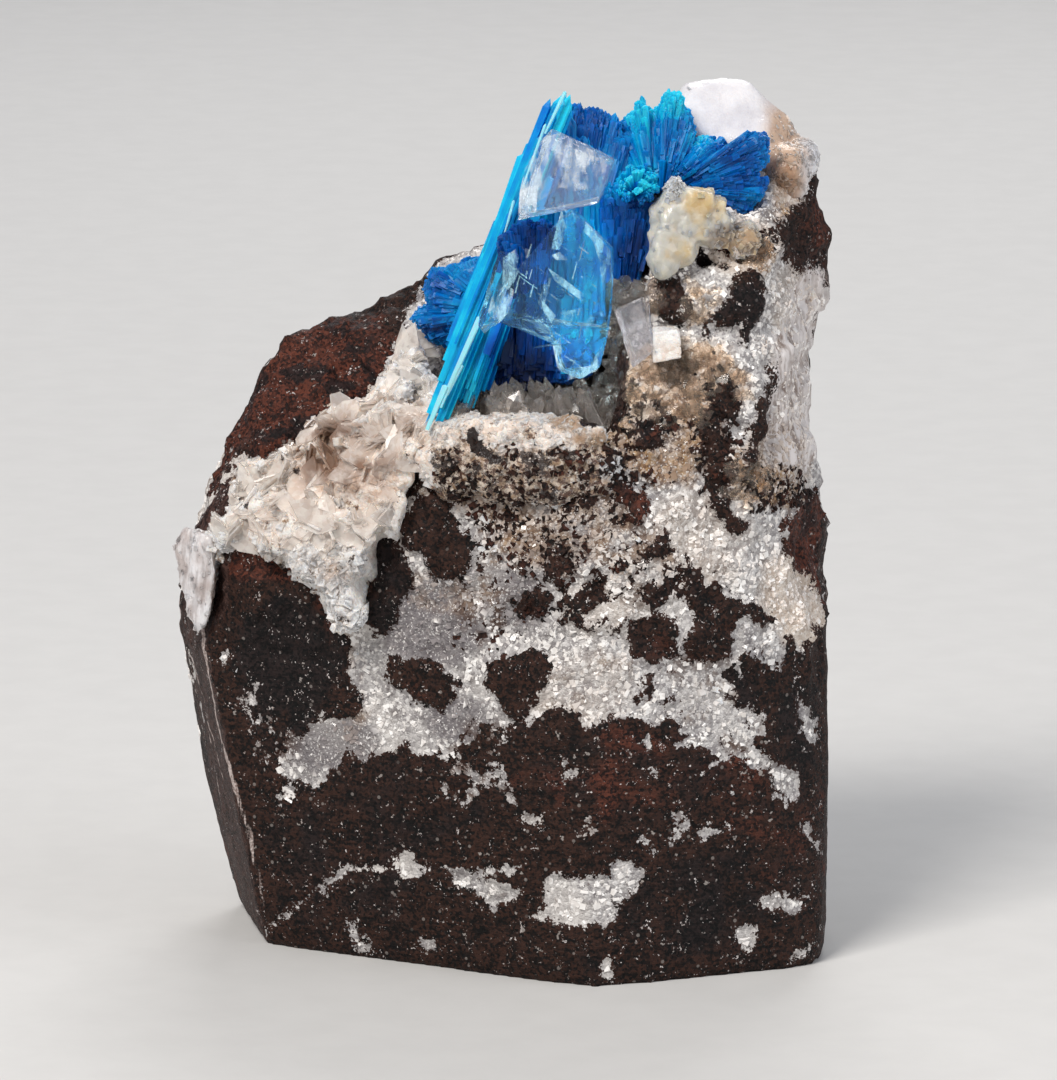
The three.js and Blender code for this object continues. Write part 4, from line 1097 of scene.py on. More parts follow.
def cavansite(blue):
    rng = random.Random(11)
    laths = []
    for root, tip in MAIN_BUNDLE:
        root, tip = Vector(root), Vector(tip)
        axis = tip - root
        for _ in range(60):
            way = any_way(rng)
            drift = (way - way.project(axis)) * rng.uniform(0.05, 0.62)
            low = rng.choice((0.0, 0.05, 0.2, 0.45)) + rng.uniform(0, 0.1)
            start = root + axis * low + drift
            end = tip - axis * (rng.random() ** 1.6) * 0.4 + drift * 0.8 + any_way(rng) * 0.15
            w = rng.choice((0.12, 0.18, 0.26, 0.4, 0.62))
            side = Vector((1, -0.4 + rng.uniform(-0.4, 0.4), rng.uniform(-0.2, 0.2)))
            tone = rng.uniform(0.5, 0.72)
            laths.append((placed(start, end, side, w, min(w * 0.5, 0.18)), tone, tone + 0.08,
                          rng.random() * 0.93, w))
    # laths painted pale as highlights: glints along the bundle
    for start, end, w in PAINTED_GLINT_LATHS:
        low, high = from_front(*start, -8.85), from_front(*end, -8.85)
        low.y, high.y = low.y + (low.z - 27) * 0.13, high.y + (high.z - 27) * 0.13
        laths.append((placed(low, high, Vector((1, -0.6, 0)), w, 0.12), 0.95, 1.0, 1.0, w))
    # the tall mass behind the calcite, its peak, its right side, and its lower ends in painted shade
    # under the slab
    fan(laths, rng, [(500, 372), (560, 380), (602, 368)], [(524, 150), (560, 112), (600, 130)],
        (-5.6, -4.3), 1.4, 1100, 0.26, (0.5, 0.62))
    fan(laths, rng, [(556, 250), (600, 285)],
        [(560, 106), (576, 95), (592, 92), (604, 94), (616, 108), (628, 126), (632, 156)],
        (-4.5, -2.5), 1.9, 1500, 0.2, (0.34, 0.52))
    fan(laths, rng, [(606, 296), (636, 294)], [(602, 190), (622, 168), (642, 186), (656, 202)],
        (-5.0, -4.6), 1.3, 900, 0.18, (0.3, 0.46), 6)
    fan(laths, rng, [(490, 320), (585, 320)],
        [(478, 404), (500, 396), (516, 402), (532, 396), (560, 384), (588, 384)],
        (-5.3, -5.9), 0.8, 500, 0.26, (0.32, 0.24), 7)
    # a dark tuft in front of the bundle, between the two calcite plates
    fan(laths, rng, [(512, 300), (545, 286)],
        [(497, 238), (506, 224), (526, 215), (544, 212), (557, 224)],
        (-7.9, -7.9), 0.35, 360, 0.2, (0.18, 0.32), 7)
    # its back and its left side
    fan(laths, rng, [(512, 384), (596, 380)],
        [(520, 205), (536, 160), (556, 134), (580, 122), (604, 128), (624, 160), (630, 200)],
        (-1.6, -0.9), 2.3, 1500, 0.26, (0.3, 0.5), 14)
    fan(laths, rng, [(512, 380), (560, 384)], [(530, 190), (552, 150), (590, 140), (622, 190)],
        (0.4, 0.4), 1.3, 800, 0.26, (0.3, 0.46), 10)
    core = ((2.9, -1.8, 35.2), (2.9, 3.6, 6.8), 0.26)
    second = ((5.7, -3.2, 36.2), (1.8, 2.3, 3.0), 0.0)
    small = ((6.7, -5.4, 38.9), (0.95, 0.95, 0.95), 0.0)
    ball(laths, rng, small[0], 0.95, (6.6, -5.2, 38.3), 26, 0.26, 0.13, (0.4, 0.62))
    cavansite_mass("cavansite_main_spray", laths, [core, second, small], blue)
    upper = ((7.9, -1.5, 40.2), (2.2, 1.7, 2.2), 0.1)
    outer = ((10.6, -1.9, 38.8), (2.4, 1.7, 2.2), 0.0)
    laths = []
    fan(laths, rng, [(640, 200), (676, 186)],
        [(612, 165), (614, 138), (620, 116), (634, 103), (643, 96), (656, 100), (668, 90), (680, 91),
         (688, 104), (694, 122), (700, 150)], (-2.6, -1.8), 1.7, 2400, 0.15, (0.38, 0.62), 16)
    fan(laths, rng, [(672, 176), (702, 196)],
        [(698, 148), (716, 138), (732, 146), (752, 131), (768, 134), (771, 150), (768, 170), (769, 192),
         (756, 214), (738, 223), (726, 216)], (-2.8, -2.4), 1.5, 2400, 0.15, (0.44, 0.56), 16)
    fan(laths, rng, [(668, 190), (690, 184)], [(686, 120), (698, 136), (716, 134), (734, 138)],
        (-2.4, -1.6), 1.2, 700, 0.15, (0.42, 0.6), 10)
    cavansite_mass("cavansite_right_spray", laths, [upper, outer], blue)
    left = ((-1.7, 0.9, 31.6), (2.4, 2.0, 2.3), 0.0)
    laths = []
    fan(laths, rng, [(474, 325), (484, 290)],
        [(446, 352), (428, 342), (418, 334), (402, 320), (410, 312), (424, 304), (420, 292), (426, 276),
         (432, 265), (442, 263), (456, 262), (470, 254), (482, 252)], (-0.2, 0.4), 1.7, 1500, 0.18,
        (0.38, 0.56), 13)
    cavansite_mass("cavansite_left_spray", laths, [left], blue)


# ---------------------------------------------------------------- calcite
def clear_finish(name, tint, roughness, body, density=1.5):
    """Glassy crystal that is frosted in cloudy patches."""
    material, tree = new_material(name)
    place = object_place(tree)
    cloud = grains(place, 1.1, 4.0, 0.6)
    fine = grains(place, 0.18, 3.0, 0.6)
    frosted = cloud.step(0.5, 0.66, roughness, 0.35)
    step_place = object_place(tree, (0.2, 1.0, 1.0), (0.3, 0.4, 0.2))
    steps = grains(step_place, 1 / 2.2, 2.0)
    height = steps + fine * 0.3
    normal = relief(height, 0.5, 0.05)
    surface(tree, base_color=tint, roughness=frosted, normal=normal, transmission_weight=body,
            ior=density, alpha=sheer(tree, 0.85))
    return material


def veil_finish():
    material, tree = new_material("cleavage_veil")
    place = object_place(tree)
    streak_place = object_place(tree, (1.0, 1.0, 0.35), (0.0, 0.35, 0.0))
    streaks = grains(streak_place, 1 / 1.4, 5.0, 0.7)
    dots = grains(place, 0.14, 2.0, 0.6)
    edge = stain(tree, "rim")
    cover = streaks.step(0.42, 0.68) + edge * 0.5
    cover = cover * dots.step(0.3, 0.6, 0.55, 1.0)
    cover = cover.part(stain(tree, "cover"))
    # painted blue on the cracks, for the blue laths seen through the calcite
    colour = mix(stain(tree, "painted_blue"), rgb(238, 238, 240), rgb(150, 220, 240))
    surface(tree, base_color=colour, roughness=0.3, alpha=cover)
    return material


def cleaved(node, name, edge, chip):
    """A cleaved crystal from its CAD form, with fine chipped edges and stepped faces."""
    bm = merged(node)
    bmesh.ops.dissolve_limit(bm, angle_limit=0.05, verts=bm.verts, edges=bm.edges)
    bmesh.ops.bevel(bm, geom=bm.edges[:], offset=edge, offset_type="OFFSET", affect="EDGES",
                    segments=1, profile=0.5, material=-1)
    bmesh.ops.triangulate(bm, faces=bm.faces)
    for cut in (0.9, 0.45, 0.25):
        long = [e for e in bm.edges if e.calc_length() > cut]
        if long:
            bmesh.ops.subdivide_edges(bm, edges=long, cuts=1)
            bmesh.ops.triangulate(bm, faces=[f for f in bm.faces if len(f.verts) > 3])
    bm.normal_update()
    for v in bm.verts:
        step = noise.cell(Vector((v.co.x * 0.8 + v.co.z * 0.5, v.co.y, v.co.z * 0.9 - v.co.x * 0.3)))
        v.co += v.normal * (chip * (step - 0.5) + chip * noise.noise(v.co / 0.6))
    piece = as_object(bm, name)
    stained(piece.data)
    return piece


# cracks in the calcite: outline as seen from the front, y, cover and how much painted blue they take
# for the laths seen through them
VEILS = [
    ([(525, 168), (544, 137), (560, 133), (609, 159), (600, 186), (575, 191), (560, 187), (540, 200),
      (518, 214), (520, 190)], -8.35, 0.5, 0.1),
    ([(574, 150), (609, 161), (601, 188), (590, 186), (579, 168)], -8.2, 1.0, 0.0),
    ([(520, 190), (538, 184), (536, 212), (518, 216)], -8.6, 0.8, 0.1),
    ([(563, 204), (571, 214), (560, 250), (551, 249)], -8.1, 0.7, 0.55),
    ([(570, 210), (584, 220), (602, 237), (607, 262), (600, 262), (592, 240), (577, 225)],
     -8.2, 0.7, 0.5),
    ([(600, 240), (610, 250), (613, 285), (604, 300), (600, 270)], -8.4, 0.6, 0.6),
    ([(503, 258), (520, 246), (530, 250), (520, 270), (508, 290), (502, 285)], -8.7, 0.6, 0.3),
    ([(538, 303), (548, 270), (553, 272), (545, 303), (556, 316), (552, 324)], -8.6, 0.8, 0.4),
    ([(548, 268), (560, 276), (606, 311), (604, 318), (556, 282)], -8.7, 0.8, 0.45),
    ([(488, 312), (492, 297), (506, 284), (514, 290), (510, 312), (498, 324)], -9.2, 0.8, 0.1),
    ([(552, 342), (560, 338), (566, 372), (588, 368), (601, 346), (604, 352), (597, 371), (580, 377),
      (565, 381), (557, 366)], -9.2, 0.95, 0.35),
    ([(560, 312), (584, 308), (600, 322), (596, 338), (575, 330), (560, 322)], -9.0, 0.7, 0.7),
    ([(552, 255), (560, 252), (568, 260), (556, 260)], -8.6, 1.0, 0.0),
]


# the slab as seen from the front, which its cracks don't leave
SLAB = [(564, 211), (606, 244), (610, 306), (600, 366), (578, 379), (560, 364), (553, 343), (484, 320),
        (502, 250), (540, 217)]


def veils(material):
    """Thin cracks inside the calcite that catch the light, and painted blue where the blue laths show
    through.
    """
    rng = random.Random(3)
    sheets = list(VEILS)
    for _ in range(46):
        u, v = rng.uniform(500, 602), rng.uniform(240, 372)
        if rng.random() < 0.6:
            run, thick = rng.uniform(8, 26), rng.uniform(0.6, 1.8)
            outline = [(u, v), (u + run, v + run * 0.72), (u + run, v + run * 0.72 + thick),
                       (u, v + thick)]
        else:
            run, thick = rng.uniform(6, 22), rng.uniform(0.6, 1.6)
            outline = [(u, v), (u + thick, v), (u - run * 0.25 + thick, v + run),
                       (u - run * 0.25, v + run)]
        sheet = (outline, rng.uniform(-8.9, -8.2), rng.uniform(0.5, 1.0), rng.uniform(0.1, 0.7))
        if within(*np.array(outline).T, SLAB).min() > 0.1:
            sheets.append(sheet)
    bm = bmesh.new()
    layers = [bm.verts.layers.float.new(name) for name in ("cover", "painted_blue", "rim")]
    for outline, y, cover, painted_blue in sheets:
        top = outline[0][1]
        corners = [bm.verts.new(from_front(u, v, y - 0.0036 * (v - top))) for u, v in outline]
        for corner in corners:
            for layer, value in zip(layers, (cover, painted_blue, 1.0)):
                corner[layer] = value
        bm.faces.new(corners)
    made = bmesh.ops.inset_individual(bm, faces=bm.faces[:], thickness=0.06, use_even_offset=True)
    rims = set(made["faces"])
    for f in bm.faces:
        if f not in rims:
            for v in f.verts:
                v[layers[2]] = 0.0
    bmesh.ops.triangulate(bm, faces=bm.faces)
    bmesh.ops.recalc_face_normals(bm, faces=bm.faces)
    bmesh.ops.solidify(bm, geom=bm.faces[:], thickness=0.03)
    finished(as_object(bm, "calcite_cleavage_veils"), material, "calcite_clear")


# x of the seam between the grey and the white rhomb
RHOMB_SEAM = 7.4


def calcite():
    # the clear calcite is tinted cyan: painted blue light from the laths seen through it
    clear = clear_finish("clear_calcite", (0.5, 0.85, 0.97, 1.0), 0.03, 0.97, 1.2)
    cloudy = clear_finish("cloudy_calcite", (0.8, 0.87, 0.92, 1.0), 0.06, 0.92, 1.22)
    finished(cleaved("calcite_upper", "calcite_upper_plate", 0.07, 0.03), cloudy, "calcite_clear",
             "calcite_upper")
    finished(cleaved("calcite_lower", "calcite_lower_slab", 0.07, 0.04), clear, "calcite_clear",
             "calcite_lower")
    veils(veil_finish())
    smoky = clear_finish("grey_calcite", (0.72, 0.72, 0.76, 1.0), 0.1, 0.88, 1.35)
    white = stilbite_finish("white_calcite", False, glow=0.6)
    for name, material, keep in (("calcite_grey_rhomb", smoky, -1), ("calcite_white_rhomb", white, 1)):
        piece = cleaved("calcite_rhombs", name, 0.06, 0.03)
        bm = bmesh.new()
        bm.from_mesh(piece.data)
        cut = bmesh.ops.bisect_plane(bm, geom=bm.verts[:] + bm.edges[:] + bm.faces[:],
                                     plane_co=(RHOMB_SEAM, 0, 0), plane_no=(-keep, 0, 0),
                                     clear_outer=True)
        rim = [e for e in cut["geom_cut"] if isinstance(e, bmesh.types.BMEdge)]
        bmesh.ops.holes_fill(bm, edges=rim)
        bmesh.ops.triangulate(bm, faces=[f for f in bm.faces if len(f.verts) > 4])
        bm.to_mesh(piece.data)
        bm.free()
        finished(piece, material, "calcite_clear", "calcite_rhombs")


# ---------------------------------------------------------------- crusts and masses
INTO_SLOPE = Vector((0.5, 0.6, -0.6)).normalized()
INTO_FRONT = Vector((0.0, 1.0, 0.1)).normalized()


def on_sill(points):
    """Whether points (mm) are on the fine crust along the pocket's rim."""
    return (points[:, 0] > -3.4) & (points[:, 2] < 28.4)


def lumpy(node, name, voxel, swell, lump, size, smoothing, filling=(), blocks=(), settled=None,
          calm=lambda points: 1.0):
    """A rough mass from its CAD form; filling holds eggs (middle and radii) and blocks holds
    bricks (middle, sides and turn in degrees) that are joined to it. Settled holds a height and
    the share of its rise above that height that the form keeps."""
    form = merged(node)
    if settled:
        start, share = settled
        for p in form.verts:
            p.co.z = min(p.co.z, start + (p.co.z - start) * share)
    for middle, radii in filling:
        egg = Matrix.Translation(middle) @ Matrix.Diagonal((*radii, 1))
        bmesh.ops.create_icosphere(form, subdivisions=3, radius=1, matrix=egg)
    for middle, sides, turn in blocks:
        brick = Matrix.Translation(middle) @ Matrix.Rotation(math.radians(turn), 4, "Y")
        bmesh.ops.create_cube(form, size=1, matrix=brick @ Matrix.Diagonal((*sides, 1)))
    bm = evenly_meshed(form, voxel)
    smoothed(bm, bm.verts, smoothing)
    bm.normal_update()
    piece = as_object(bm, name)
    mesh = piece.data
    points, normals = points_of(mesh), normals_of(mesh)
    rise = swell + lump * grain_field(points, size, 4, 21.0) * calm(points)
    put_points(mesh, points + normals * rise[:, None])
    stained(mesh)
    mesh.shade_smooth()
    return piece


# spots on a mesh: their places, normals, positions in the view from the front and vertices
Spots = namedtuple("Spots", "at way u v vertex")


def seeds(piece, rng, count, accept):
    """Points and normals spread over a mesh by area and by how welcome a crystal is there."""
    mesh = piece.data
    mesh.calc_loop_triangles()
    points, normals = points_of(mesh), normals_of(mesh)
    tris = np.array([t.vertices for t in mesh.loop_triangles])
    a, b, c = points[tris[:, 0]], points[tris[:, 1]], points[tris[:, 2]]
    area = np.linalg.norm(np.cross(b - a, c - a), axis=1)
    middle, way = (a + b + c) / 3, normals[tris[:, 0]]
    area *= accept(Spots(middle, way, *front_view(middle), tris[:, 0]))
    chosen = rng.choices(range(len(tris)), weights=area.tolist(), k=count)
    return [(Vector(middle[i]), Vector(way[i])) for i in chosen]


def crystal_grains(carrier, name, count, sizes, accept, material, slot, seed):
    """Small blocky crystals that stand in a carrier; the carrier is still in mm."""
    rng = random.Random(seed)
    places = []
    for spot, way in seeds(carrier, rng, count, accept):
        size = rng.uniform(*sizes)
        tip = spot + (way + any_way(rng) * 0.9).normalized() * size * 0.6
        places.append(placed(spot - way * size * 0.35, tip, any_way(rng), size * rng.uniform(0.6, 1.3),
                             size * rng.uniform(0.4, 1.0)))
    return grown(name, rhomb_template(), places, material, slot)


def clast_depth(u, v):
    return np.max([within(u, v, clast) for clast in SILL_CLASTS], axis=0)


def bare_depth(u, v, rocks=(RIDGE, CONTACT, *CLASTS[:3])):
    """Depth in mm inside the bare rock above, below and beside the crust."""
    return np.max([within(u, v, rock) for rock in rocks], axis=0)


def thinned(crust):
    """Lets the crust sink into the bare rock around it."""
    mesh = crust.data
    points = points_of(mesh)
    u, v = front_view(points)
    wander = 6 * grain_field(points, 1.2, 3, 13.0)
    for rocks, way in (([RIDGE], INTO_SLOPE), ([CONTACT, *CLASTS[:2]], INTO_FRONT)):
        sunk = 2.2 * smooth(bare_depth(u + wander, v + wander, rocks), -0.2, 0.8) * ~on_sill(points)
        points += sunk[:, None] * np.array(way)
    put_points(mesh, points)
    mesh.update()


def stilbite(base, clear, rock_coat):
    under_sill = [((-2.4, -8.2, 25.7), (1.7, 0.75, 0.8)), ((0.0, -9.0, 25.6), (1.8, 0.75, 0.8)),
                  ((2.2, -9.55, 25.6), (1.8, 0.75, 0.8)), ((4.3, -9.5, 25.8), (1.5, 0.8, 0.8)),
                  ((-2.0, -8.3, 24.9), (1.5, 0.7, 0.9)), ((0.3, -9.1, 24.8), (1.7, 0.65, 0.9)),
                  ((2.6, -9.5, 24.8), (1.7, 0.65, 0.9)), ((4.5, -9.4, 25.1), (1.3, 0.7, 0.8)),
                  ((-13.4, -3.2, 21.1), (0.9, 0.6, 0.6)), ((-14.0, -2.9, 20.8), (0.5, 0.5, 0.5))]
    crust = lumpy("stilbite_crust", "stilbite_crust_body", 0.22, 0.26, 0.42, 0.9, 4, under_sill,
                  calm=lambda points: np.where(on_sill(points), 0.6, 1.0))
    thinned(crust)
    in_clast = clast_depth(*front_view(points_of(crust.data)))
    give(crust.data, "clast", np.clip(0.5 + in_clast, 0, 1))
    rng = random.Random(5)
    places = []

    def bladed(spot):
        weight = ~on_sill(spot.at) * np.where(spot.v > 545, 0.05, 1.0)
        weight = weight * smooth(-bare_depth(spot.u, spot.v), 0.1, 0.5)
        return weight * smooth(spot.way[:, 2] - spot.way[:, 1] * 0.6, 0.1, 0.6)

    # sheaves of blades that stand, and single blades that lie
    for spot, way in seeds(crust, rng, 170, bladed):
        lean = any_way(rng)
        flat = (lean - lean.project(way)).normalized()
        axis = (flat + way * rng.uniform(0.15, 0.8)).normalized()
        across = axis.cross(way).normalized()
        length = rng.uniform(0.9, 2.3)
        for k in range(rng.randint(2, 5)):
            turn = rng.uniform(-0.28, 0.28)
            point = (axis + across * turn + way * (0.16 * k - 0.2)).normalized()
            reach = length * rng.uniform(0.7, 1.1)
            side = across + way * rng.uniform(-0.5, 0.5)
            places.append(placed(spot - point * 0.35 * reach - way * 0.1, spot + point * 0.7 * reach,
                                 side, reach * rng.uniform(0.35, 0.6), rng.uniform(0.06, 0.15)))
    for spot, way in seeds(crust, rng, 46, bladed):
        lean = any_way(rng)
        axis = (lean - lean.project(way)).normalized() + way * rng.uniform(-0.05, 0.35)
        across = axis.cross(way).normalized()
        length = rng.uniform(1.3, 2.5)
        places.append(placed(spot - axis * 0.5 * length + way * 0.16,
                             spot + axis * 0.5 * length + way * 0.2, across,
                             length * rng.uniform(0.4, 0.6), rng.uniform(0.08, 0.16)))
    tips = np.array([m @ Vector((0, 0, 1)) for m in places])
    outside = bare_depth(*front_view(tips)) > 0.2
    places = [m for m, out in zip(places, outside) if not out]
    grown("stilbite_blades", blade_template(), places, clear, "stilbite")

    def crumbly(spot):
        low = 0.25 + 1.2 * smooth(spot.v, 520, 560)
        return low * ~on_sill(spot.at) * (bare_depth(spot.u, spot.v) < 0.1)

    def sugary(spot):
        return np.where(on_sill(spot.at), 1.0, 0.03) * (clast_depth(spot.u, spot.v) < 0)

    def soiled(spot):
        return on_sill(spot.at) * smooth(spot.v, 436, 462) * smooth(spot.u, 424, 442)

    places = []
    points = points_of(crust.data)
    u, v = front_view(points)
    for *ends, width in NEEDLES:
        low, high = (Vector(points[np.argmin(np.hypot(u - a, v - b) + 2 * (points[:, 1] + 12))])
                     - AHEAD * lift for (a, b), lift in zip(ends, (0.15, 0.55)))
        places.append(placed(low, high, any_way(rng), width, width * 0.6))
    grown("stilbite_needles", lath_template(6, 0.8, 0.94), places, base, "stilbite")

    crystal_grains(crust, "stilbite_crust_grains", 1500, (0.16, 0.6), crumbly, base, "stilbite", 41)
    crystal_grains(crust, "stilbite_sill_grains", 1900, (0.12, 0.36), sugary, base, "stilbite", 42)
    rock_crumbs(crust, "stilbite_sill_crumbs", 520, soiled, rock_coat, 84)
    finished(crust, base, "stilbite", "stilbite_crust")


# white crystals painted in as glints on the cement: right, down and size in mm
PAINTED_GLINTS = [
    (487, 521, 0.5), (506, 527, 0.35), (483, 547, 0.7), (497, 547, 0.6), (440, 583, 0.5),
    (449, 581, 0.4), (714, 690, 0.45), (719, 700, 0.4), (655, 425, 0.6), (812, 293, 0.6),
    (447, 618, 0.3), (585, 462, 0.4), (640, 282, 0.5), (645, 276, 0.35), (222, 655, 0.4),
    (238, 668, 0.35), (357, 652, 0.4), (560, 651, 0.25), (636, 540, 0.35), (578, 456, 0.3),
    (700, 405, 0.4), (640, 372, 0.5), (655, 392, 0.4),
]


# white crystals set where light glints: painted highlights
def painted_glint_crystals(rock, material):
    points = points_of(rock.data)
    u, v = front_view(points)
    hidden = 1e3 * ~(to_front(normals_of(rock.data)) > 0.2) + 2 * (points[:, 1] + 12)
    rng = random.Random(61)
    places = []
    for glint_u, glint_v, size in PAINTED_GLINTS:
        spot = Vector(points[np.argmin(np.hypot(u - glint_u, v - glint_v) + hidden)])
        tip = spot - AHEAD * size * 0.5 + any_way(rng) * 0.1
        places.append(placed(spot + AHEAD * size * 0.4, tip, any_way(rng), size,
                             size * rng.uniform(0.4, 0.8)))
    grown("cement_bright_facets", rhomb_template(), places, material, "stilbite")


def cement_grains(rock, material):
    """Small cement crystals on the rock; the rock is still in mm."""
    depth, crumbled = values_of(rock.data, "basalt"), values_of(rock.data, "crumbled")

    def in_cement(spot):
        front = np.where(to_front(spot.way) > 0.1, 1.0, 0.35) * (spot.at[:, 2] > 0.6)
        return smooth(-depth[spot.vertex] - 0.25 * crumbled[spot.vertex], 0.02, 0.3) * front

    crystal_grains(rock, "cement_crystal_grains", 8000, (0.12, 0.34), in_cement, material,
                   "stilbite", 23)


def glassy_crystals(rock, material):
    """Larger glassy crystals in the tan cement beside the pocket."""
    depth = values_of(rock.data, "basalt")

    def beside_pocket(spot):
        return spots(spot.u, spot.v, GLASSY) * (to_front(spot.way) > 0.1) * (depth[spot.vertex] < 0.15)

    crystal_grains(rock, "cement_glassy_crystals", 520, (0.24, 0.85), beside_pocket, material,
                   "stilbite", 29)


def rock_crumbs(carrier, name, count, field, coat, seed):
    """Brown crumbs of basalt among the cement's crystals."""
    piece = crystal_grains(carrier, name, count, (0.14, 0.5), field, coat, "basalt", seed)
    for key, value in (("basalt", 1.0), ("rust", 0.35), ("crumbled", 0.0)):
        give(piece.data, key, np.full(len(piece.data.vertices), value))


def dusky(spot):
    return spots(spot.u, spot.v, DUSKY + OCHRE[1:4] + OCHRE[9:11]) * (to_front(spot.way) > 0.1)


def honey_finish():
    material, tree = new_material("honey_calcite")
    place = object_place(tree)
    shade, sparkle, height = sugar(place, 0.5)
    cloudy = grains(place, 1.3, 4.0, 0.55)
    yellowed = stain(tree, "honey") + (cloudy - 0.5) * 2.2
    colour = mix(cloudy.step(0.42, 0.6), rgb(184, 182, 174), rgb(214, 206, 190))
    colour = mix(yellowed.step(0.1, 1.1, 0.0, 0.85), colour, rgb(198, 168, 110))
    colour = mix(shade.step(0.3, 0.9, 0.0, 0.3), colour, rgb(238, 233, 222))
    dot_far, dot_chance = cells(place, 1 / 0.8)
    dots = dot_far.step(0.13, 0.07) * dot_chance[0].step(0.5, 0.6)
    colour = mix(dots * 0.85, colour, rgb(42, 30, 22))
    ochre = stain(tree, "ochre") * 0.8
    colour = mix(ochre, colour, rgb(176, 128, 66))
    normal = relief(height, 0.5, 0.07)
    gloss = 0.34 - sparkle * 0.2
    surface(tree, base_color=colour, roughness=gloss, normal=normal, subsurface_weight=0.7,
            subsurface_radius=(1.0, 0.8, 0.5), subsurface_scale=1.4 * MM)
    return material


def milky_finish(name, tint, warm, streaky=0.0):
    material, tree = new_material(name)
    place = object_place(tree)
    cloudy = grains(place, 1.6, 4.0, 0.55)
    _, sparkle, height = sugar(place, 0.35)
    colour = mix(cloudy.step(0.35, 0.65), tint, rgb(236, 233, 234))
    colour = mix(stain(tree, "cream"), colour, warm)
    colour = mix(stain(tree, "ochre") * 0.7, colour, rgb(168, 116, 74))
    streak_place = object_place(tree, (1.0, 1.0, 0.2), (0.0, math.radians(-14), 0.0))
    streaks = grains(streak_place, 1 / 2.4, 3.0)
    colour = mix(streaks.step(0.5, 0.4, 0.0, streaky), colour, rgb(112, 98, 92))
    colour = mix(streaks.step(0.56, 0.64, 0.0, streaky), colour, rgb(244, 238, 234))
    height = height * 0.5 + streaks
    normal = relief(height, 0.5, 0.1)
    gloss = 0.32 - sparkle * 0.2
    surface(tree, base_color=colour, roughness=gloss, normal=normal, subsurface_weight=0.7,
            subsurface_radius=(1.0, 0.95, 0.9), subsurface_scale=1.2 * MM)
    return material


def pocket(material):
    """Smoky prisms that stand on the floor and walls of the pocket."""
    rng = random.Random(31)
    places = []

    def stand(root, ahead, sway, lengths, widths):
        lean = (Vector(ahead) + any_way(rng) * sway).normalized()
        length, width = rng.uniform(*lengths), rng.uniform(*widths)
        places.append(placed(root, root + lean * length, any_way(rng), width,
                             width * rng.uniform(0.6, 1)))

    for _ in range(150):
        root = Vector((rng.uniform(-2.4, 5.2), rng.uniform(-8.2, -4.2), 27.3))
        root.z += 0.25 * max(0.0, root.y + 6.5)
        stand(root, (0, -0.15, 1), 0.45, (0.8, 2.4), (0.25, 0.75))
    for _ in range(120):
        root = from_front(rng.uniform(612, 648), rng.uniform(290, 425), -6.0)
        root.y = -6.2 - 0.4 * (root.x - 5.0) + rng.uniform(0.0, 0.9)
        stand(root, (-0.3, -0.5, 0.35), 0.5, (0.4, 1.3), (0.25, 0.7))
    grown("pocket_prisms", lath_template(6, 0.9, 0.78), places, material, "pocket_prisms",
          "pocket_floor_prisms")


# the cloudy calcite: the middle (as seen from the front, and y), the sides and the turn of its
# blocks, and where its small crystals stand
YELLOW_BLOCKS = [
    ((699, 209, -5.9), (1.25, 1.2, 1.9), 8), ((718, 214, -5.5), (0.8, 1.3, 1.5), -6),
    ((676, 200, -5.8), (1.2, 1.2, 1.5), 34), ((684, 228, -6.1), (2.2, 1.2, 1.1), -4),
    ((664, 246, -6.5), (1.1, 0.9, 1.6), 24), ((742, 240, -5.2), (1.5, 1.2, 1.1), -24),
]
YELLOW_EDGES = [
    (728, 232, 14, 20, 1.0), (675, 190, 12, 14, 1.0), (700, 236, 20, 8, 0.5), (748, 248, 22, 24, 1.0),
]
# white crystal tips on the yellow calcite; those at its top left are painted white for the highlights
# on a clear crystal
WHITE_TIPS_AND_GLINTS = [(673, 187, 9, 13, 1.0), (740, 262, 16, 10, 0.5)]


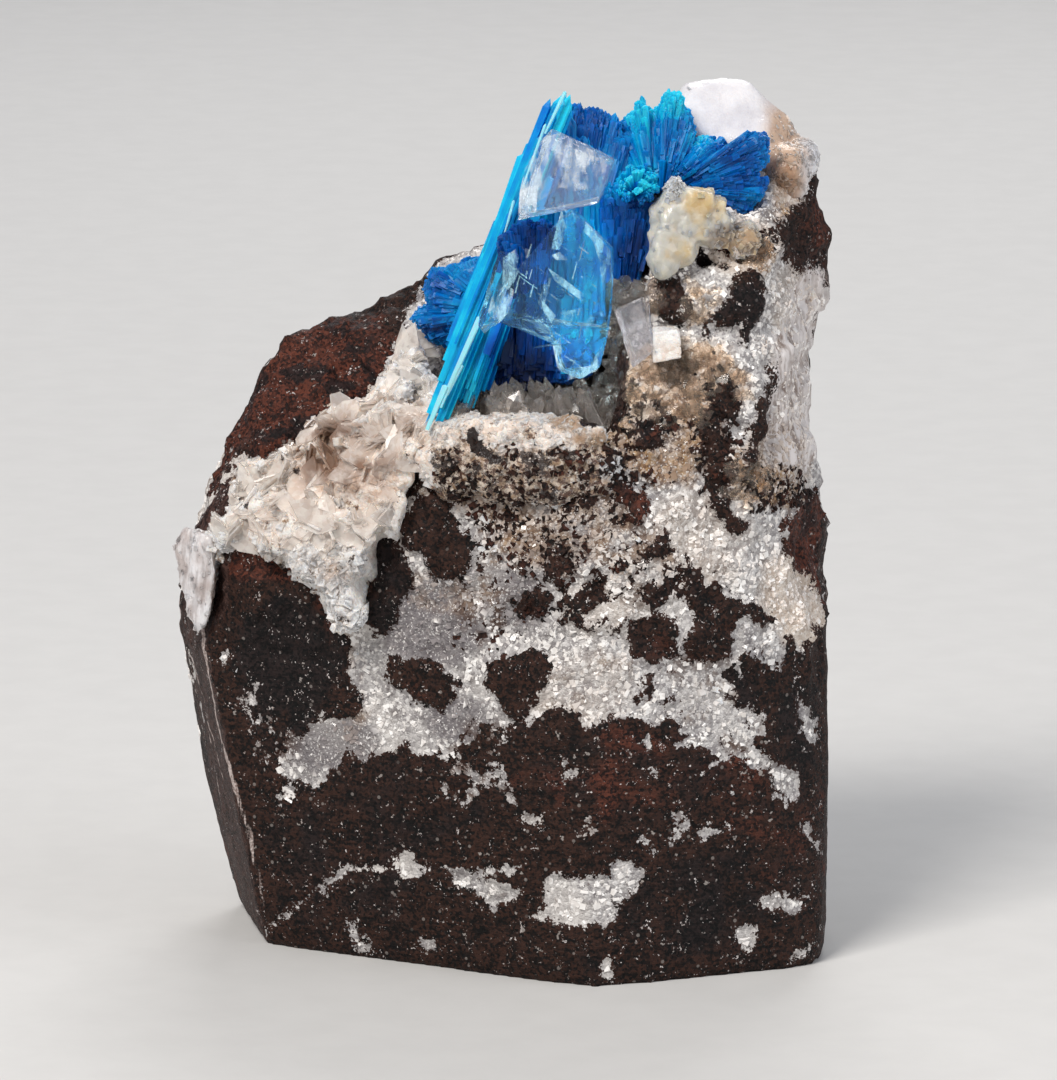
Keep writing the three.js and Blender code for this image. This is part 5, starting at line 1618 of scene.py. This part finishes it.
def masses(white):
    def anywhere(spot):
        return 1.0

    def edges(spot):
        return 0.04 + spots(spot.u, spot.v, YELLOW_EDGES)

    def white_tips_and_glints(spot):
        return spots(spot.u, spot.v, WHITE_TIPS_AND_GLINTS)

    def low_right(spot):
        return 0.004 + smooth(spot.at[:, 0] - 0.5 * (spot.at[:, 2] - 40), 12.9, 14.4)

    filling = [((8.5, -5.9, 36.3), (1.3, 0.8, 1.2)), (from_front(672, 251, -6.4), (1.15, 0.7, 0.95))]
    blocks = [(from_front(*at), sides, turn) for at, sides, turn in YELLOW_BLOCKS]
    honey = lumpy("calcite_yellow", "calcite_yellow_mass", 0.14, 0.06, 0.2, 0.9, 4, filling, blocks)
    honey_coat = honey_finish()
    crystal_grains(honey, "calcite_yellow_crystals", 260, (0.14, 0.46), edges, honey_coat,
                   "calcite_yellow", 43)
    crystal_grains(honey, "calcite_yellow_white_tips", 70, (0.14, 0.4), white_tips_and_glints, white,
                   "calcite_yellow", 44)
    finished(honey, honey_coat, "calcite_yellow", "calcite_yellow")
    cap = lumpy("stilbite_cap", "stilbite_cap_mass", 0.22, 0.24, 0.24, 1.9, 10,
                [((14.7, 1.6, 38.9), (1.0, 1.6, 1.0)), ((13.9, -0.2, 38.9), (1.1, 1.0, 0.9)),
                 ((14.3, 0.2, 37.9), (0.7, 1.0, 0.9))])
    cap_coat = milky_finish("white_stilbite_cap", rgb(220, 217, 220), rgb(206, 176, 152))
    crystal_grains(cap, "stilbite_cap_grains", 600, (0.12, 0.34), low_right, cap_coat, "white_cap", 47)
    finished(cap, cap_coat, "white_cap", "stilbite_cap")
    vein = lumpy("stilbite_edge_vein", "stilbite_edge_vein_slab", 0.16, -0.05, 0.16, 1.1, 5,
                 settled=(18.6, 0.62))
    vein_coat = milky_finish("edge_vein_stilbite", rgb(190, 178, 174), rgb(206, 184, 170), 0.3)
    crystal_grains(vein, "stilbite_edge_grains", 120, (0.12, 0.34), anywhere, vein_coat,
                   "edge_vein", 53)
    finished(vein, vein_coat, "edge_vein", "stilbite_edge_vein")


def specimen():
    rock = breccia()
    base = stilbite_finish("stilbite_crust", False, glow=0.6)
    clear = stilbite_finish("stilbite_plates", True, glass=0.58, glow=0.2)
    cement_grains(rock, stilbite_finish("cement_sugar", True))
    painted_glint_crystals(rock, base)
    glassy_crystals(rock, clear_finish("glassy_cement", (0.8, 0.7, 0.6, 1.0), 0.03, 0.95, 1.3))
    coat = rock_finish()
    rock_crumbs(rock, "cement_basalt_crumbs", 1100, dusky, coat, 83)
    finished(rock, coat, "basalt", "basalt_matrix")
    stilbite(base, clear, coat)
    cavansite(cavansite_finish())
    calcite()
    masses(base)
    pocket(clear_finish("smoky_prisms", (0.62, 0.58, 0.55, 1.0), 0.1, 0.9))


# ---------------------------------------------------------------- studio
def studio():
    bm = bmesh.new()
    bmesh.ops.create_grid(bm, x_segments=4, y_segments=4, size=2.5)
    floor = as_object(bm, "floor")
    floor.data.materials.append(floor_finish())
    camera = bpy.data.objects.new("camera", bpy.data.cameras.new("camera"))
    bpy.context.scene.collection.objects.link(camera)
    camera.location = EYE * MM
    camera.rotation_euler = AHEAD.to_track_quat("-Z", "Y").to_euler()
    camera.data.lens = LENS
    camera.data.sensor_width = SENSOR
    camera.data.clip_start = 0.05
    camera.data.clip_end = 20
    bpy.context.scene.camera = camera
    lights = [
        ("key", (-150, -230, 330), 160, 1.5, (1.0, 0.97, 0.93)),
        ("side", (330, -120, 160), 200, 0.45, (0.93, 0.96, 1.0)),
        ("back", (40, 320, 300), 200, 0.7, (1.0, 1.0, 1.0)),
    ]
    for name, at, size, power, colour in lights:
        lamp = bpy.data.lights.new(name, "AREA")
        lamp.size = size * MM
        lamp.energy = power
        lamp.color = colour
        piece = bpy.data.objects.new(name, lamp)
        bpy.context.scene.collection.objects.link(piece)
        piece.location = Vector(at) * MM
        aim = Vector((0, 0, 22)) - Vector(at)
        piece.rotation_euler = aim.to_track_quat("-Z", "Y").to_euler()
    world = bpy.data.worlds.new("studio")
    bpy.context.scene.world = world
    world.use_nodes = True
    background = world.node_tree.nodes["Background"]
    background.inputs["Color"].default_value = (0.86, 0.9, 1.0, 1.0)
    background.inputs["Strength"].default_value = 0.3
    bpy.context.scene.view_settings.view_transform = "Standard"


studio()
specimen()
